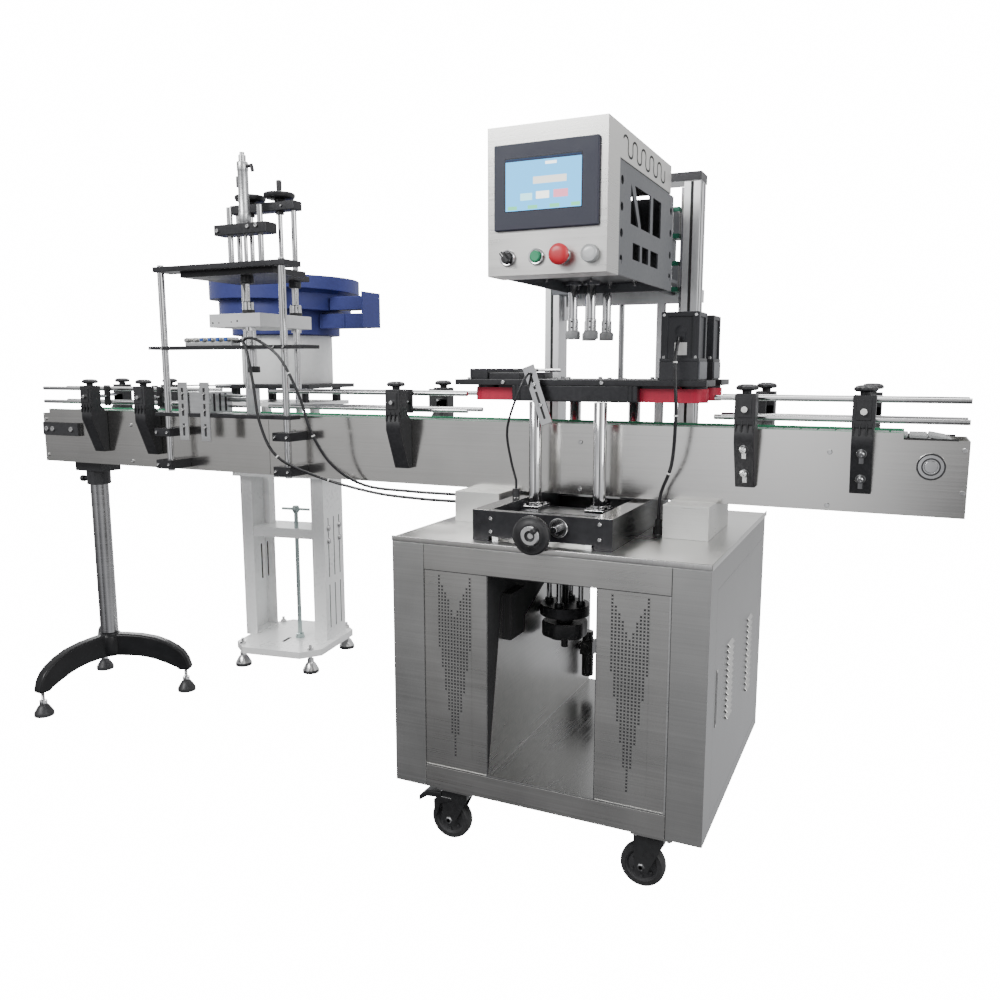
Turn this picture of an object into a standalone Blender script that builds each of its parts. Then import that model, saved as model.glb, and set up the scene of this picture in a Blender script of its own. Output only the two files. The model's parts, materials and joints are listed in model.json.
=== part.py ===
# Screw capping line: belt conveyor, wheel capping station on a cabinet, cap placing station and bowl feeder.
# Metres, +Z up, floor at z = 0. Most pieces are placed in the line's own frame, where y = 0 is the
# conveyor's front face; LINE_X and LINE_Y carry that frame to the centre of the machine's floor rectangle.
import math

import bmesh
import bpy
from mathutils import Matrix, Vector

GAP = 0.0003
SHEET = 0.003
FINE = 16
COARSE = 8

# Conveyor
CONV_X0 = -1.33
CONV_LENGTH = 2.75
CONV_WIDTH = 0.150
CONV_BOTTOM = 0.814
CONV_PLATE_HEIGHT = 0.161
STRIP_HEIGHT = 0.014
STRIP_WIDTH = 0.012
CHAIN_AXIS_Z = 0.920
CHAIN_RADIUS = 0.064
CHAIN_THICKNESS = 0.008
DRUM_CLEARANCE = 0.0015
DRIVE_INSET = 0.070
IDLER_INSET = 0.068
STRIP_START = 0.030
STRIP_STOP = 0.125
TENSION_START = 0.010
TENSION_LENGTH = 0.165
SHAFT_RADIUS = 0.0125
BEARING_RADIUS = 0.0285
CONV_X1 = CONV_X0 + CONV_LENGTH
DRIVE_X = CONV_X1 - DRIVE_INSET
IDLER_X = CONV_X0 + IDLER_INSET
STRIP_X0 = CONV_X0 + STRIP_START
STRIP_X1 = CONV_X1 - STRIP_STOP
TENSION_X0 = CONV_X0 + TENSION_START
CONV_TOP = CONV_BOTTOM + CONV_PLATE_HEIGHT
CONV_MID = CONV_WIDTH / 2

# Guide rails and their brackets
ROD_RADIUS = 0.006
RAIL_INSET = 0.030
RAIL_LOW_Z = 1.012
RAIL_PITCH_Z = 0.044
RAIL_HIGH_Z = RAIL_LOW_Z + RAIL_PITCH_Z
SUPPORT_LEFT_X0 = 0.270
SUPPORT_RIGHT_X0 = 0.806
SUPPORT_RIGHT_X1 = 0.911
SUPPORT_Y0 = -0.0756
SUPPORT_Y1 = 0.160
RAIL_SETS = ((-1.354, -0.660), (-0.400, 0.253), (0.8935, 1.4185))
FRONT_BRACKETS = ((-1.050, -0.820), (0.080,), (0.977, 1.217))
REAR_BRACKETS = ((-1.170, -0.950), (0.094,), (0.985, 1.222))
BRACKET_WIDTH = 0.045
BRACKET_FOOT_Z = 0.858
BRACKET_FOOT_DEPTH = 0.020
BRACKET_KNEE_Z = 0.962
BRACKET_REACH = 0.062
BRACKET_TOP_Z = 1.068
BRACKET_HEAD_DEPTH = 0.040
PIN_Z = RAIL_LOW_Z + RAIL_PITCH_Z / 2
KNOB_RADIUS = 0.022
KNOB_HEIGHT = 0.021

# Conveyor leg
LEG_X = -1.1765
LEG_POLE_RADIUS = 0.029
LEG_POLE_Z0 = 0.215
LEG_HEAD_Z0 = 0.735
LEG_HEAD_PLATE_Z0 = 0.781
LEG_SPREAD = 0.258
LEG_FIRST_ANGLE = math.radians(-95.0)
LEG_HUB_RADIUS = 0.042
LEG_ARM_WIDTH = 0.040
FOOT_TOP_Z = 0.078
PAD_RADIUS = 0.030

# Cabinet
CAB_X0 = 0.2343
CAB_Y0 = -0.3206
CAB_WIDTH = 0.7350
CAB_DEPTH = 0.7092
CAB_Z0 = 0.141
CAB_HEIGHT = 0.5965
CAB_X1 = CAB_X0 + CAB_WIDTH
CAB_Y1 = CAB_Y0 + CAB_DEPTH
CAB_Z1 = CAB_Z0 + CAB_HEIGHT
CORNER_WIDTH = 0.083
BAY_X0 = 0.478
BAY_X1 = 0.732
BAY_FLOOR_Z = 0.195
OPENING_Z0 = 0.199
OPENING_Z1 = 0.673
PANEL_RECESS = 0.0012
GLAND_X = 0.785
GLAND_Y = -0.030
GLAND_TOP_Z = 0.7719
DOOR_Y0 = -0.250
DOOR_Y1 = 0.350
DOOR_Z0 = 0.170

# Casters
CASTER_XS = (0.389, 0.862)
CASTER_YS = (-0.275, 0.335)
CASTER_TRAIL = 0.027
CASTER_PLATE = 0.090
CASTER_PLATE_THICK = 0.004
WHEEL_RADIUS = 0.050
WHEEL_WIDTH = 0.030
AXLE_RADIUS = 0.006
FORK_THICK = 0.004
CASTER_RIM = 0.115

# Jack below the cabinet's top
JACK_X = 0.5425
JACK_Y = 0.0
JACK_ROD_RADIUS = 0.007
JACK_ROD_PITCH = 0.085
JACK_FLANGE_RADIUS = 0.0635
JACK_FLANGE_Z0 = 0.507
JACK_FLANGE_Z1 = 0.535
JACK_WHEEL_RADIUS = 0.0585
JACK_WHEEL_Z0 = 0.450
JACK_WHEEL_Z1 = 0.493
JACK_SCREW_RADIUS = 0.009
JACK_SCREW_Z0 = 0.420

# Slide base on the cabinet's top
BASE_X0 = 0.420
BASE_X1 = 0.750
BASE_Y0 = -0.275
BASE_Y1 = 0.300
BAR_Y1 = 0.205
BASE_TOP_Z = 0.808
LEFT_BAR_WIDTH = 0.040
RIGHT_BAR_WIDTH = 0.042
FRONT_PLATE_Z0 = 0.748
FRONT_PLATE_THICK = 0.020
GUIDE_HEIGHT = 0.014
GUIDE_WIDTH = 0.015
GUIDE_INSET = 0.006
SMALL_GLAND_X = 0.437
SMALL_GLAND_Y = -0.070
SMALL_GLAND_TOP_Z = 0.8304
BEAM_HEIGHT = 0.031
BEAM_Y0 = -0.115
BEAM_DEPTH = 0.100
SPREAD_X = 0.594
SPREAD_Z = 0.7735
SPREAD_RADIUS = 0.006
SPREAD_WHEEL_RADIUS = 0.0425
SPREAD_WHEEL_Y = -0.350
CRANK_X = 0.630
CRANK_Z = 0.781

# Gripping belts and their posts
POST_XS = (0.4855, 0.6495)
POST_Y = -0.065
POST_RADIUS = 0.0155
FLANGE_WIDTH = 0.048
FLANGE_DEPTH = 0.072
FLANGE_HEIGHT = 0.010
BELT_Z0 = 1.0445
BELT_HEIGHT = 0.0315
BELT_AXIS_Y = -0.0045
BELT_RADIUS = 0.032
BELT_THICK = 0.0025
BELT_X0 = 0.333
BELT_X1 = 0.853
TOP_PLATE_X0 = 0.265
TOP_PLATE_X1 = 0.892
TOP_PLATE_Y0 = -0.062
TOP_PLATE_Y1 = 0.040
TOP_PLATE_Z0 = 1.082
TOP_PLATE_Z1 = 1.096
BACKING_X0 = 0.420
BACKING_X1 = 0.735
BACKING_DROP = 0.0005
MOTOR_X0 = 0.783
MOTOR_SIZE = 0.088
MOTOR_TOP_Z = 1.248
GEAR_TOP_Z = 1.138
BELT_TRAVEL = 0.025

# Columns behind the line
COLUMN_WIDTH = 0.040
COLUMN_DEPTH = 0.065
COLUMN_Y0 = 0.215
COLUMN_LEFT_X0 = 0.395
COLUMN_RIGHT_X0 = 0.7635
COLUMN_TOP_Z = 1.580
COLUMN_BORE = 0.0105
COLUMN_BORE_TOP = 1.050
COLUMN_LIFT_ROOM = 0.010
TOP_BAR_HEIGHT = 0.020
TRACK_THICK = 0.012
TRACK_WIDTH = 0.020
TRACK_Z0 = 1.250
TRACK_Z1 = 1.570
CROSS_Z0 = 1.290
CROSS_Z1 = 1.322
CROSS_DEPTH = 0.020

# Capping head
HEAD_X0 = 0.5206
HEAD_X1 = 0.7685
HEAD_FRONT_Y = -0.4026
HEAD_STEP_Y = -0.330
HEAD_BACK_Y = 0.0645
HEAD_Z0 = 1.3028
HEAD_STEP_Z = 1.523
HEAD_Z1 = 1.5848
SIDE_INSET = 0.002
SIDE_THICK = 0.004
SIDE_BACK_Y = 0.100
SIDE_Z0 = 1.305
DECK_Z0 = 1.327
DECK_THICK = 0.008
CARRIAGE_THICK = 0.016
CHEEK_THICK = 0.008
SPINDLE_XS = (0.549, 0.595)
SPINDLE_YS = (0.015, 0.135)
SPINDLE_RADIUS = 0.00825
CHUCK_RADIUS = 0.0165
CHUCK_Z0 = 1.192
CHUCK_Z1 = 1.212
COLLAR_Z1 = 1.232
SPINDLE_TOP_Z = 1.350
SIDE_LOW_WINDOWS = ((0.102, 0.155), (0.171, 0.221), (0.238, 0.300))
SIDE_HIGH_WINDOWS = (((0.083, 0.107), (0.140, 0.107), (0.083, 0.185)),
                     ((0.160, 0.107), (0.230, 0.107), (0.230, 0.185), (0.110, 0.185)),
                     ((0.250, 0.107), (0.318, 0.107), (0.318, 0.185), (0.250, 0.185)))
SCREEN_X0 = 0.538
SCREEN_X1 = 0.753
SCREEN_Z0 = 1.388
SCREEN_Z1 = 1.549
SCREEN_THICK = 0.008
CONTROL_Z = 1.337
CONTROL_XS = (0.565, 0.626, 0.680, 0.737)
BEZEL_THICK = 0.0055
BEZEL_RADIUS = 0.0155
BUTTON_RADIUS = 0.0105
STOP_RADIUS = 0.020

# Cap placing station
STATION_XS = (-0.715, -0.273)
STATION_POST_Y = -0.050
STATION_POST_RADIUS = 0.010
REAR_POST_XS = (-0.620, -0.424)
REAR_POST_Y = 0.200
FOOT_CLAMP_Z0 = 0.823
FOOT_CLAMP_Z1 = 0.850
MID_CLAMP_Z0 = 0.921
MID_CLAMP_Z1 = 0.945
CLAMP_HALF = 0.030
CLAMP_REACH = 0.080
LOW_BAR_Z0 = 0.981
LOW_BAR_Z1 = 0.992
LOW_BAR_HALF = 0.022
SENSOR_BRACKETS = ((-0.648, -0.614), (-0.565, -0.531))
STOP_BOX_X0 = -0.633
STOP_BOX_X1 = -0.551
STOP_PLATE_X = -0.462
THIN_PLATE_Z0 = 1.176
THIN_PLATE_Z1 = 1.186
DECK_A_Z0 = 1.400
DECK_A_Z1 = 1.415
DECK_B_Z0 = 1.3845
DECK_B_X0 = -0.660
DECK_B_X1 = -0.320
DECK_B_Y1 = 0.235
BLOCK_X0 = -0.590
BLOCK_X1 = -0.400
BLOCK_Y0 = 0.005
BLOCK_Y1 = 0.245
BLOCK_Z0 = 1.241
BLOCK_Z1 = 1.280
CYLINDER_X = -0.455
CYLINDER_Y = 0.022
CYLINDER_RADIUS = 0.016
CYLINDER_Z1 = 1.727
PULL_RADIUS = 0.006
CLAMP_BLOCK_Z0 = 1.500
CLAMP_BLOCK_Z1 = 1.530
UPPER_ROD_XS = (-0.510, -0.400)
UPPER_ROD_TOP = 1.580
BRIDGE_Y = 0.100
BRIDGE_X0 = -0.561
BRIDGE_X1 = -0.326
BRIDGE_Z0 = 1.572
BRIDGE_Z1 = 1.598
STATION_WHEEL_XS = (-0.498, -0.391)
STATION_WHEEL_RADIUS = 0.045
STATION_WHEEL_Z0 = 1.600

# Bowl feeder on its stand
STAND_X = -0.8225
STAND_Y = 0.646
STAND_TURN = math.radians(8.5)
STAND_PLATE_WIDTH = 0.360
STAND_PLATE_DEPTH = 0.380
STAND_PLATE_Z0 = 0.060
STAND_PLATE_Z1 = 0.085
STAND_CHAMFER = 0.060
STAND_FOOT_DX = 0.143
STAND_FOOT_DY = 0.1495
STAND_COLUMN_TOP = 0.716
STAND_TOP_PLATE = 0.014
STAND_WALL = 0.004
LIFT_SCREW_X = 0.028
LIFT_SCREW_Y = -0.018
LIFT_SCREW_RADIUS = 0.008
LIFT_HANDLE_Z = 0.591
LIFT_HANDLE_REACH = 0.058
LIFT_PLATE_Z0 = 0.479
LIFT_PLATE_Z1 = 0.517
PLATFORM_Z0 = 0.985
PLATFORM_Z1 = 1.000
FEEDER_PLATE_Z0 = 1.050
FEEDER_PLATE_Z1 = 1.065
DRUM_RADIUS = 0.165
DRUM_TOP_Z = 1.240
BOWL_X = -0.815
BOWL_Y = 0.646
BOWL_RADIUS = 0.270
BOWL_STEP_RADIUS = 0.238
BOWL_FOOT_RADIUS = 0.195
BOWL_TOP_Z = 1.440
BOWL_STEP_Z = 1.375
CHUTE_REACH = 0.405
BOWL_FOOT_STEP_Z = 1.315
BOWL_WALL = 0.005

# The line frame's place: the middle between the outermost faces on each side
LEG_REACH_X = LEG_X + LEG_SPREAD * math.cos(LEG_FIRST_ANGLE - math.radians(120)) - PAD_RADIUS
LINE_X = -(CONV_X1 + LEG_REACH_X) / 2
STOP_BUTTON_DEPTH = 0.030
LINE_Y = -(BOWL_Y + BOWL_RADIUS + HEAD_FRONT_Y - GAP - STOP_BUTTON_DEPTH) / 2

for old in list(bpy.data.objects):
    bpy.data.objects.remove(old, do_unlink=True)

PARTS = bpy.data.collections.new("screw_capping_machine")
bpy.context.scene.collection.children.link(PARTS)


def material(name, colour, roughness, metallic):
    made = bpy.data.materials.new(name)
    made.use_nodes = True
    shader = made.node_tree.nodes["Principled BSDF"]
    shader.inputs["Base Color"].default_value = (*colour, 1.0)
    shader.inputs["Roughness"].default_value = roughness
    shader.inputs["Metallic"].default_value = metallic
    return made


def from_bmesh(bm):
    mesh = bpy.data.meshes.new("shape")
    bm.to_mesh(mesh)
    bm.free()
    return mesh


def block(x0, x1, y0, y1, z0, z1):
    bm = bmesh.new()
    bmesh.ops.create_cube(bm, size=1.0)
    bmesh.ops.scale(bm, vec=(x1 - x0, y1 - y0, z1 - z0), verts=bm.verts)
    bmesh.ops.translate(bm, vec=((x0 + x1) / 2, (y0 + y1) / 2, (z0 + z1) / 2), verts=bm.verts)
    return from_bmesh(bm)


def rod(start, end, radius, segments=FINE):
    a = Vector(start)
    b = Vector(end)
    bm = bmesh.new()
    bmesh.ops.create_cone(bm, cap_ends=True, segments=segments, radius1=radius, radius2=radius,
                          depth=(b - a).length)
    turn = Vector((0, 0, 1)).rotation_difference(b - a).to_matrix().to_4x4()
    bmesh.ops.transform(bm, matrix=Matrix.Translation((a + b) / 2) @ turn, verts=bm.verts)
    return from_bmesh(bm)


def upright(x, y, z0, z1, radius, segments=FINE):
    return rod((x, y, z0), (x, y, z1), radius, segments)


def across(x, z, y0, y1, radius, segments=FINE):
    return rod((x, y0, z), (x, y1, z), radius, segments)


def evaluated(holder):
    bpy.context.scene.collection.objects.link(holder)
    bpy.context.view_layer.update()
    graph = bpy.context.evaluated_depsgraph_get()
    mesh = bpy.data.meshes.new_from_object(holder.evaluated_get(graph))
    bpy.data.objects.remove(holder, do_unlink=True)
    return mesh


def weld(mesh):
    bm = bmesh.new()
    bm.from_mesh(mesh)
    bmesh.ops.remove_doubles(bm, verts=bm.verts, dist=0.00001)
    bmesh.ops.recalc_face_normals(bm, faces=bm.faces)
    bm.to_mesh(mesh)
    bm.free()
    return mesh


PLANES = {
    "xy": Matrix.Identity(4),
    "xz": Matrix(((1, 0, 0, 0), (0, 0, -1, 0), (0, 1, 0, 0), (0, 0, 0, 1))),
    "yz": Matrix(((0, 0, 1, 0), (1, 0, 0, 0), (0, 1, 0, 0), (0, 0, 0, 1))),
}


# A flat outline with holes, extruded from one level to the other along the plane's normal.
def slab(plane, outlines, low, high):
    curve = bpy.data.curves.new("outline", "CURVE")
    curve.dimensions = "2D"
    curve.fill_mode = "BOTH"
    curve.extrude = (high - low) / 2
    for points in outlines:
        spline = curve.splines.new("POLY")
        spline.points.add(len(points) - 1)
        for target, (a, b) in zip(spline.points, points):
            target.co = (a, b, 0.0, 1.0)
        spline.use_cyclic_u = True
    mesh = weld(evaluated(bpy.data.objects.new("outline", curve)))
    middle = (low + high) / 2
    level = -middle if plane == "xz" else middle
    mesh.transform(PLANES[plane] @ Matrix.Translation((0, 0, level)))
    return mesh


# A turned piece: the profile runs down its outer side, as (radius, height) pairs.
def turned(profile, x, y, z=0.0, segments=FINE):
    mesh = bpy.data.meshes.new("profile")
    verts = [(r, 0.0, h) for r, h in profile]
    mesh.from_pydata(verts, [(i, i + 1) for i in range(len(verts) - 1)], [])
    holder = bpy.data.objects.new("profile", mesh)
    screw = holder.modifiers.new("turn", "SCREW")
    screw.steps = segments
    screw.render_steps = segments
    screw.use_merge_vertices = True
    screw.merge_threshold = 0.00005
    result = weld(evaluated(holder))
    result.transform(Matrix.Translation((x, y, z)))
    return result


def circle(a, b, radius, segments=FINE):
    step = 2 * math.pi / segments
    return [(a + radius * math.cos(i * step), b + radius * math.sin(i * step)) for i in range(segments)]


def oblong(a0, a1, b, radius, segments=FINE):
    half = segments // 2
    step = math.pi / half
    right = [(a1 + radius * math.sin(i * step), b - radius * math.cos(i * step)) for i in range(half + 1)]
    left = [(a0 - radius * math.sin(i * step), b + radius * math.cos(i * step)) for i in range(half + 1)]
    return right + left


def boolean(base, other, operation):
    holder = bpy.data.objects.new("base", base)
    tool = bpy.data.objects.new("tool", other)
    bpy.context.scene.collection.objects.link(tool)
    modifier = holder.modifiers.new(operation.lower(), "BOOLEAN")
    modifier.operation = operation
    modifier.object = tool
    modifier.solver = "EXACT"
    result = evaluated(holder)
    bpy.data.objects.remove(tool, do_unlink=True)
    return result


def fused(first, *others):
    for other in others:
        first = boolean(first, other, "UNION")
    return first


def cut(first, *tools):
    for tool in tools:
        first = boolean(first, tool, "DIFFERENCE")
    return first


def turned_about_stand(mesh):
    centre = Matrix.Translation((STAND_X, STAND_Y, 0.0))
    mesh.transform(centre @ Matrix.Rotation(STAND_TURN, 4, "Z"))
    return mesh


def mirrored(mesh):
    mesh.transform(Matrix.Translation((0, CONV_WIDTH, 0)) @ Matrix.Scale(-1, 4, (0, 1, 0)))
    mesh.flip_normals()
    return mesh


# A node: one solid, with its origin where the piece turns or starts.
def node(name, look, solid, origin=(0.0, 0.0, 0.0)):
    mesh = solid.copy()
    mesh.name = name
    mesh.transform(Matrix.Translation(-Vector(origin)))
    mesh.materials.clear()
    mesh.materials.append(look)
    mesh.shade_smooth()
    mesh.set_sharp_from_angle(angle=math.radians(35))
    made = bpy.data.objects.new(name, mesh)
    made.location = Vector(origin) + Vector((LINE_X, LINE_Y, 0.0))
    PARTS.objects.link(made)
    return made


STEEL = material("brushed_steel", (0.55, 0.55, 0.54), 0.30, 1.0)
CHROME = material("chrome", (0.72, 0.72, 0.72), 0.12, 1.0)
ALUMINIUM = material("aluminium", (0.62, 0.63, 0.64), 0.35, 1.0)
DARK = material("black_anodised", (0.030, 0.030, 0.034), 0.45, 0.3)
PLASTIC = material("black_plastic", (0.020, 0.020, 0.022), 0.50, 0.0)
WHITE = material("white_paint", (0.72, 0.72, 0.70), 0.45, 0.0)
BLUE = material("blue_paint", (0.035, 0.065, 0.36), 0.40, 0.0)
RED = material("red_belt", (0.62, 0.035, 0.075), 0.60, 0.0)
GREEN = material("green_strip", (0.10, 0.48, 0.25), 0.45, 0.0)
CHAIN = material("grey_chain", (0.50, 0.51, 0.50), 0.50, 0.0)
DARK_SHEET = material("grey_paint", (0.115, 0.12, 0.13), 0.40, 0.4)
BUTTON_GREEN = material("button_green", (0.02, 0.38, 0.16), 0.35, 0.0)
BUTTON_RED = material("button_red", (0.60, 0.03, 0.04), 0.35, 0.0)
RUBBER = material("grey_rubber", (0.42, 0.42, 0.42), 0.70, 0.0)


# Cabinet: a folded stainless body with a through bay, two hollow sides, a flat top and caster plates.
def cabinet_body():
    inner = (CAB_Y0 + SHEET, CAB_Y1 - SHEET)
    roof = CAB_Z1 - SHEET
    body = block(CAB_X0, CAB_X1, CAB_Y0, CAB_Y1, CAB_Z0, CAB_Z1)
    left = block(CAB_X0 + SHEET, BAY_X0 - SHEET, *inner, CAB_Z0 + SHEET, roof)
    right = block(BAY_X1 + SHEET, CAB_X1 - SHEET, *inner, CAB_Z0 + SHEET, roof)
    below = block(BAY_X0 - 2 * SHEET, BAY_X1 + 2 * SHEET, *inner, CAB_Z0 + SHEET, BAY_FLOOR_Z - SHEET)
    bay = block(BAY_X0, BAY_X1, CAB_Y0 + SHEET, CAB_Y1 + SHEET, BAY_FLOOR_Z, roof)
    mouth = block(BAY_X0, BAY_X1, CAB_Y0 - SHEET, CAB_Y0 + 2 * SHEET, OPENING_Z0, OPENING_Z1)
    recess = (CAB_Y0 - SHEET, CAB_Y0 + PANEL_RECESS, OPENING_Z0, OPENING_Z1)
    left_front = block(CAB_X0 + CORNER_WIDTH, BAY_X0 - SHEET, *recess)
    right_front = block(BAY_X1 + SHEET, CAB_X1 - CORNER_WIDTH, *recess)
    side = block(CAB_X1 - 2 * SHEET, CAB_X1 + SHEET, DOOR_Y0, DOOR_Y1, DOOR_Z0, OPENING_Z1)
    rim = CASTER_RIM
    floor_hole = block(CAB_X0 + rim, CAB_X1 - rim, CAB_Y0 + rim, CAB_Y1 - rim, CAB_Z0 - SHEET, CAB_Z0 + 2 * SHEET)
    body = cut(body, left, right, below, bay, mouth, left_front, right_front, side, floor_hole)
    return node("cabinet_body", STEEL, fused(body, *cabinet_additions()))


# What is bolted to the cabinet: caster plates, column guide rods, a cable gland and the bay's switch box.
def cabinet_additions():
    added = []
    half = CASTER_PLATE / 2
    for x in CASTER_XS:
        for y in CASTER_YS:
            added.append(block(x - half, x + half, y - half, y + half, CAB_Z0 - CASTER_PLATE_THICK, CAB_Z0 + 0.001))
    for x0 in (COLUMN_LEFT_X0, COLUMN_RIGHT_X0):
        added.append(upright(x0 + COLUMN_WIDTH / 2, COLUMN_Y0 + COLUMN_DEPTH / 2, CAB_Z1 - 0.001,
                             COLUMN_BORE_TOP - COLUMN_LIFT_ROOM, COLUMN_BORE - GAP))
    added.append(upright(GLAND_X, GLAND_Y, CAB_Z1 - 0.001, CAB_Z1 + 0.016, 0.012))
    added.append(upright(GLAND_X, GLAND_Y, CAB_Z1 + 0.015, GLAND_TOP_Z, 0.008))
    added.append(block(BAY_X0 - 0.001, BAY_X0 + 0.022, -0.240, -0.160, 0.500, 0.610))
    return added


def side_door():
    panel = block(CAB_X1 - SHEET, CAB_X1, DOOR_Y0 + GAP, DOOR_Y1 - GAP, DOOR_Z0 + GAP, OPENING_Z1 - GAP)
    return node("side_door", STEEL, panel, (CAB_X1, DOOR_Y1, (DOOR_Z0 + OPENING_Z1) / 2))


# Air regulator on the bay's left wall: an arm, a body, a knob above and a bowl below.
def regulator():
    wall = BAY_X0 + GAP
    x = wall + 0.024
    y = 0.300
    arm = block(wall, x, y - 0.012, y + 0.012, 0.318, 0.334)
    body = block(x - 0.018, x + 0.020, y - 0.019, y + 0.019, 0.305, 0.345)
    knob = upright(x, y, 0.340, 0.372, 0.016)
    bowl = upright(x, y, 0.240, 0.310, 0.017)
    return node("air_regulator", PLASTIC, fused(body, arm, knob, bowl))


# Jack: four pull rods hold a round flange that carries the handwheel's screw.
def jack_frame():
    half = JACK_ROD_PITCH / 2
    flange = upright(JACK_X, JACK_Y, JACK_FLANGE_Z0, JACK_FLANGE_Z1, JACK_FLANGE_RADIUS, 20)
    for dx in (-half, half):
        for dy in (-half, half):
            flange = fused(flange, upright(JACK_X + dx, JACK_Y + dy, JACK_FLANGE_Z1 - 0.004, CAB_Z1 - SHEET - GAP,
                                           JACK_ROD_RADIUS, COARSE))
    bore = upright(JACK_X, JACK_Y, JACK_FLANGE_Z0 - 0.01, JACK_FLANGE_Z1 + 0.01, JACK_SCREW_RADIUS + GAP)
    return node("jack_frame", CHROME, cut(flange, bore))


def jack_handwheel():
    hub_top = JACK_FLANGE_Z0 - GAP
    profile = [(0.0, CAB_Z1 - SHEET - GAP), (JACK_SCREW_RADIUS, CAB_Z1 - SHEET - GAP),
               (JACK_SCREW_RADIUS, hub_top), (0.022, hub_top), (0.022, JACK_WHEEL_Z1 - 0.004),
               (JACK_WHEEL_RADIUS - 0.012, JACK_WHEEL_Z1), (JACK_WHEEL_RADIUS, JACK_WHEEL_Z1 - 0.012),
               (JACK_WHEEL_RADIUS, JACK_WHEEL_Z0 + 0.012), (JACK_WHEEL_RADIUS - 0.012, JACK_WHEEL_Z0),
               (0.020, JACK_WHEEL_Z0 + 0.004), (JACK_SCREW_RADIUS, JACK_WHEEL_Z0 + 0.004),
               (JACK_SCREW_RADIUS, JACK_SCREW_Z0), (0.0, JACK_SCREW_Z0)]
    wheel = turned(profile, JACK_X, JACK_Y)
    return node("jack_handwheel", PLASTIC, wheel, (JACK_X, JACK_Y, JACK_WHEEL_Z0))


# Slide base: two side bars, a front plate with the spread screw's bearing, open in the middle.
def base_box():
    z = (CAB_Z1 + GAP, BASE_TOP_Z)
    left = block(BASE_X0, BASE_X0 + LEFT_BAR_WIDTH, BASE_Y0, BAR_Y1, *z)
    right = block(BASE_X1 - RIGHT_BAR_WIDTH, BASE_X1, BASE_Y0, BAR_Y1, *z)
    front = block(BASE_X0 + 0.01, BASE_X1 - 0.01, BASE_Y0, BASE_Y0 + FRONT_PLATE_THICK, FRONT_PLATE_Z0,
                  BASE_TOP_Z - 0.001)
    ring = across(CRANK_X, CRANK_Z, BASE_Y0 - 0.006, BASE_Y0 + 0.004, 0.0215)
    stub = across(CRANK_X, CRANK_Z, BASE_Y0 - 0.036, BASE_Y0, 0.007)
    boss = across(SPREAD_X, SPREAD_Z, BASE_Y0 - 0.004, BASE_Y0 + 0.004, 0.014)
    bore = across(SPREAD_X, SPREAD_Z, BASE_Y0 - 0.02, BASE_Y0 + 0.04, SPREAD_RADIUS + GAP)
    guides = []
    y = (BASE_Y0 + 0.005, BASE_Y1)
    z = (CAB_Z1 + GAP, CAB_Z1 + GAP + GUIDE_HEIGHT)
    inset = GUIDE_INSET
    for x in (BASE_X0 + LEFT_BAR_WIDTH + inset, BASE_X1 - RIGHT_BAR_WIDTH - inset - GUIDE_WIDTH):
        guides.append(block(x, x + GUIDE_WIDTH, *y, *z))
    gland = upright(SMALL_GLAND_X, SMALL_GLAND_Y, BASE_TOP_Z - 0.001, SMALL_GLAND_TOP_Z, 0.009)
    body = cut(fused(left, right, front, ring, stub, boss, gland, *guides), bore)
    return node("base_box", DARK, body)


def base_handwheel():
    y = SPREAD_WHEEL_Y
    hub_back = BASE_Y0 - 0.004 - GAP
    profile = [(0.0, 0.0), (0.018, 0.0), (0.021, -0.006), (0.030, -0.003), (0.036, 0.004),
               (SPREAD_WHEEL_RADIUS, 0.002), (SPREAD_WHEEL_RADIUS, -0.010), (0.036, -0.013), (0.021, -0.012),
               (0.013, -0.020), (0.013, y - hub_back), (SPREAD_RADIUS, y - hub_back),
               (SPREAD_RADIUS, y - BASE_Y1 + 0.03), (0.0, y - BASE_Y1 + 0.03)]
    wheel = turned(profile, 0, 0)
    wheel.transform(Matrix.Translation((SPREAD_X, y, SPREAD_Z)) @ Matrix.Rotation(math.radians(90), 4, "X"))
    grip = across(SPREAD_X + 0.014, SPREAD_Z + 0.014, y - 0.026, y + 0.012, 0.006, COARSE)
    return node("base_handwheel", DARK, fused(wheel, grip), (SPREAD_X, y, SPREAD_Z))


# One gripping belt's carriage, drawn for the front side and mirrored for the rear side.
def belt_carriage():
    guide_top = CAB_Z1 + 2 * GAP + GUIDE_HEIGHT
    beam_top = guide_top + BEAM_HEIGHT
    beam = block(BASE_X0 + LEFT_BAR_WIDTH + GAP, BASE_X1 - RIGHT_BAR_WIDTH - GAP, BEAM_Y0, BEAM_Y0 + BEAM_DEPTH,
                 guide_top, beam_top)
    across_x = FLANGE_WIDTH / 2
    along_y = FLANGE_DEPTH / 2
    for x in POST_XS:
        foot = block(x - across_x, x + across_x, POST_Y - along_y, POST_Y + along_y, beam_top - 0.001,
                     beam_top + FLANGE_HEIGHT)
        post = upright(x, POST_Y, beam_top + FLANGE_HEIGHT / 2, BELT_Z0 - BACKING_DROP - GAP, POST_RADIUS)
        beam = fused(beam, foot, post)
    bore = across(SPREAD_X, SPREAD_Z, BEAM_Y0 - 0.01, BEAM_Y0 + BEAM_DEPTH + 0.01, SPREAD_RADIUS + GAP)
    return cut(beam, bore)


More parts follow.
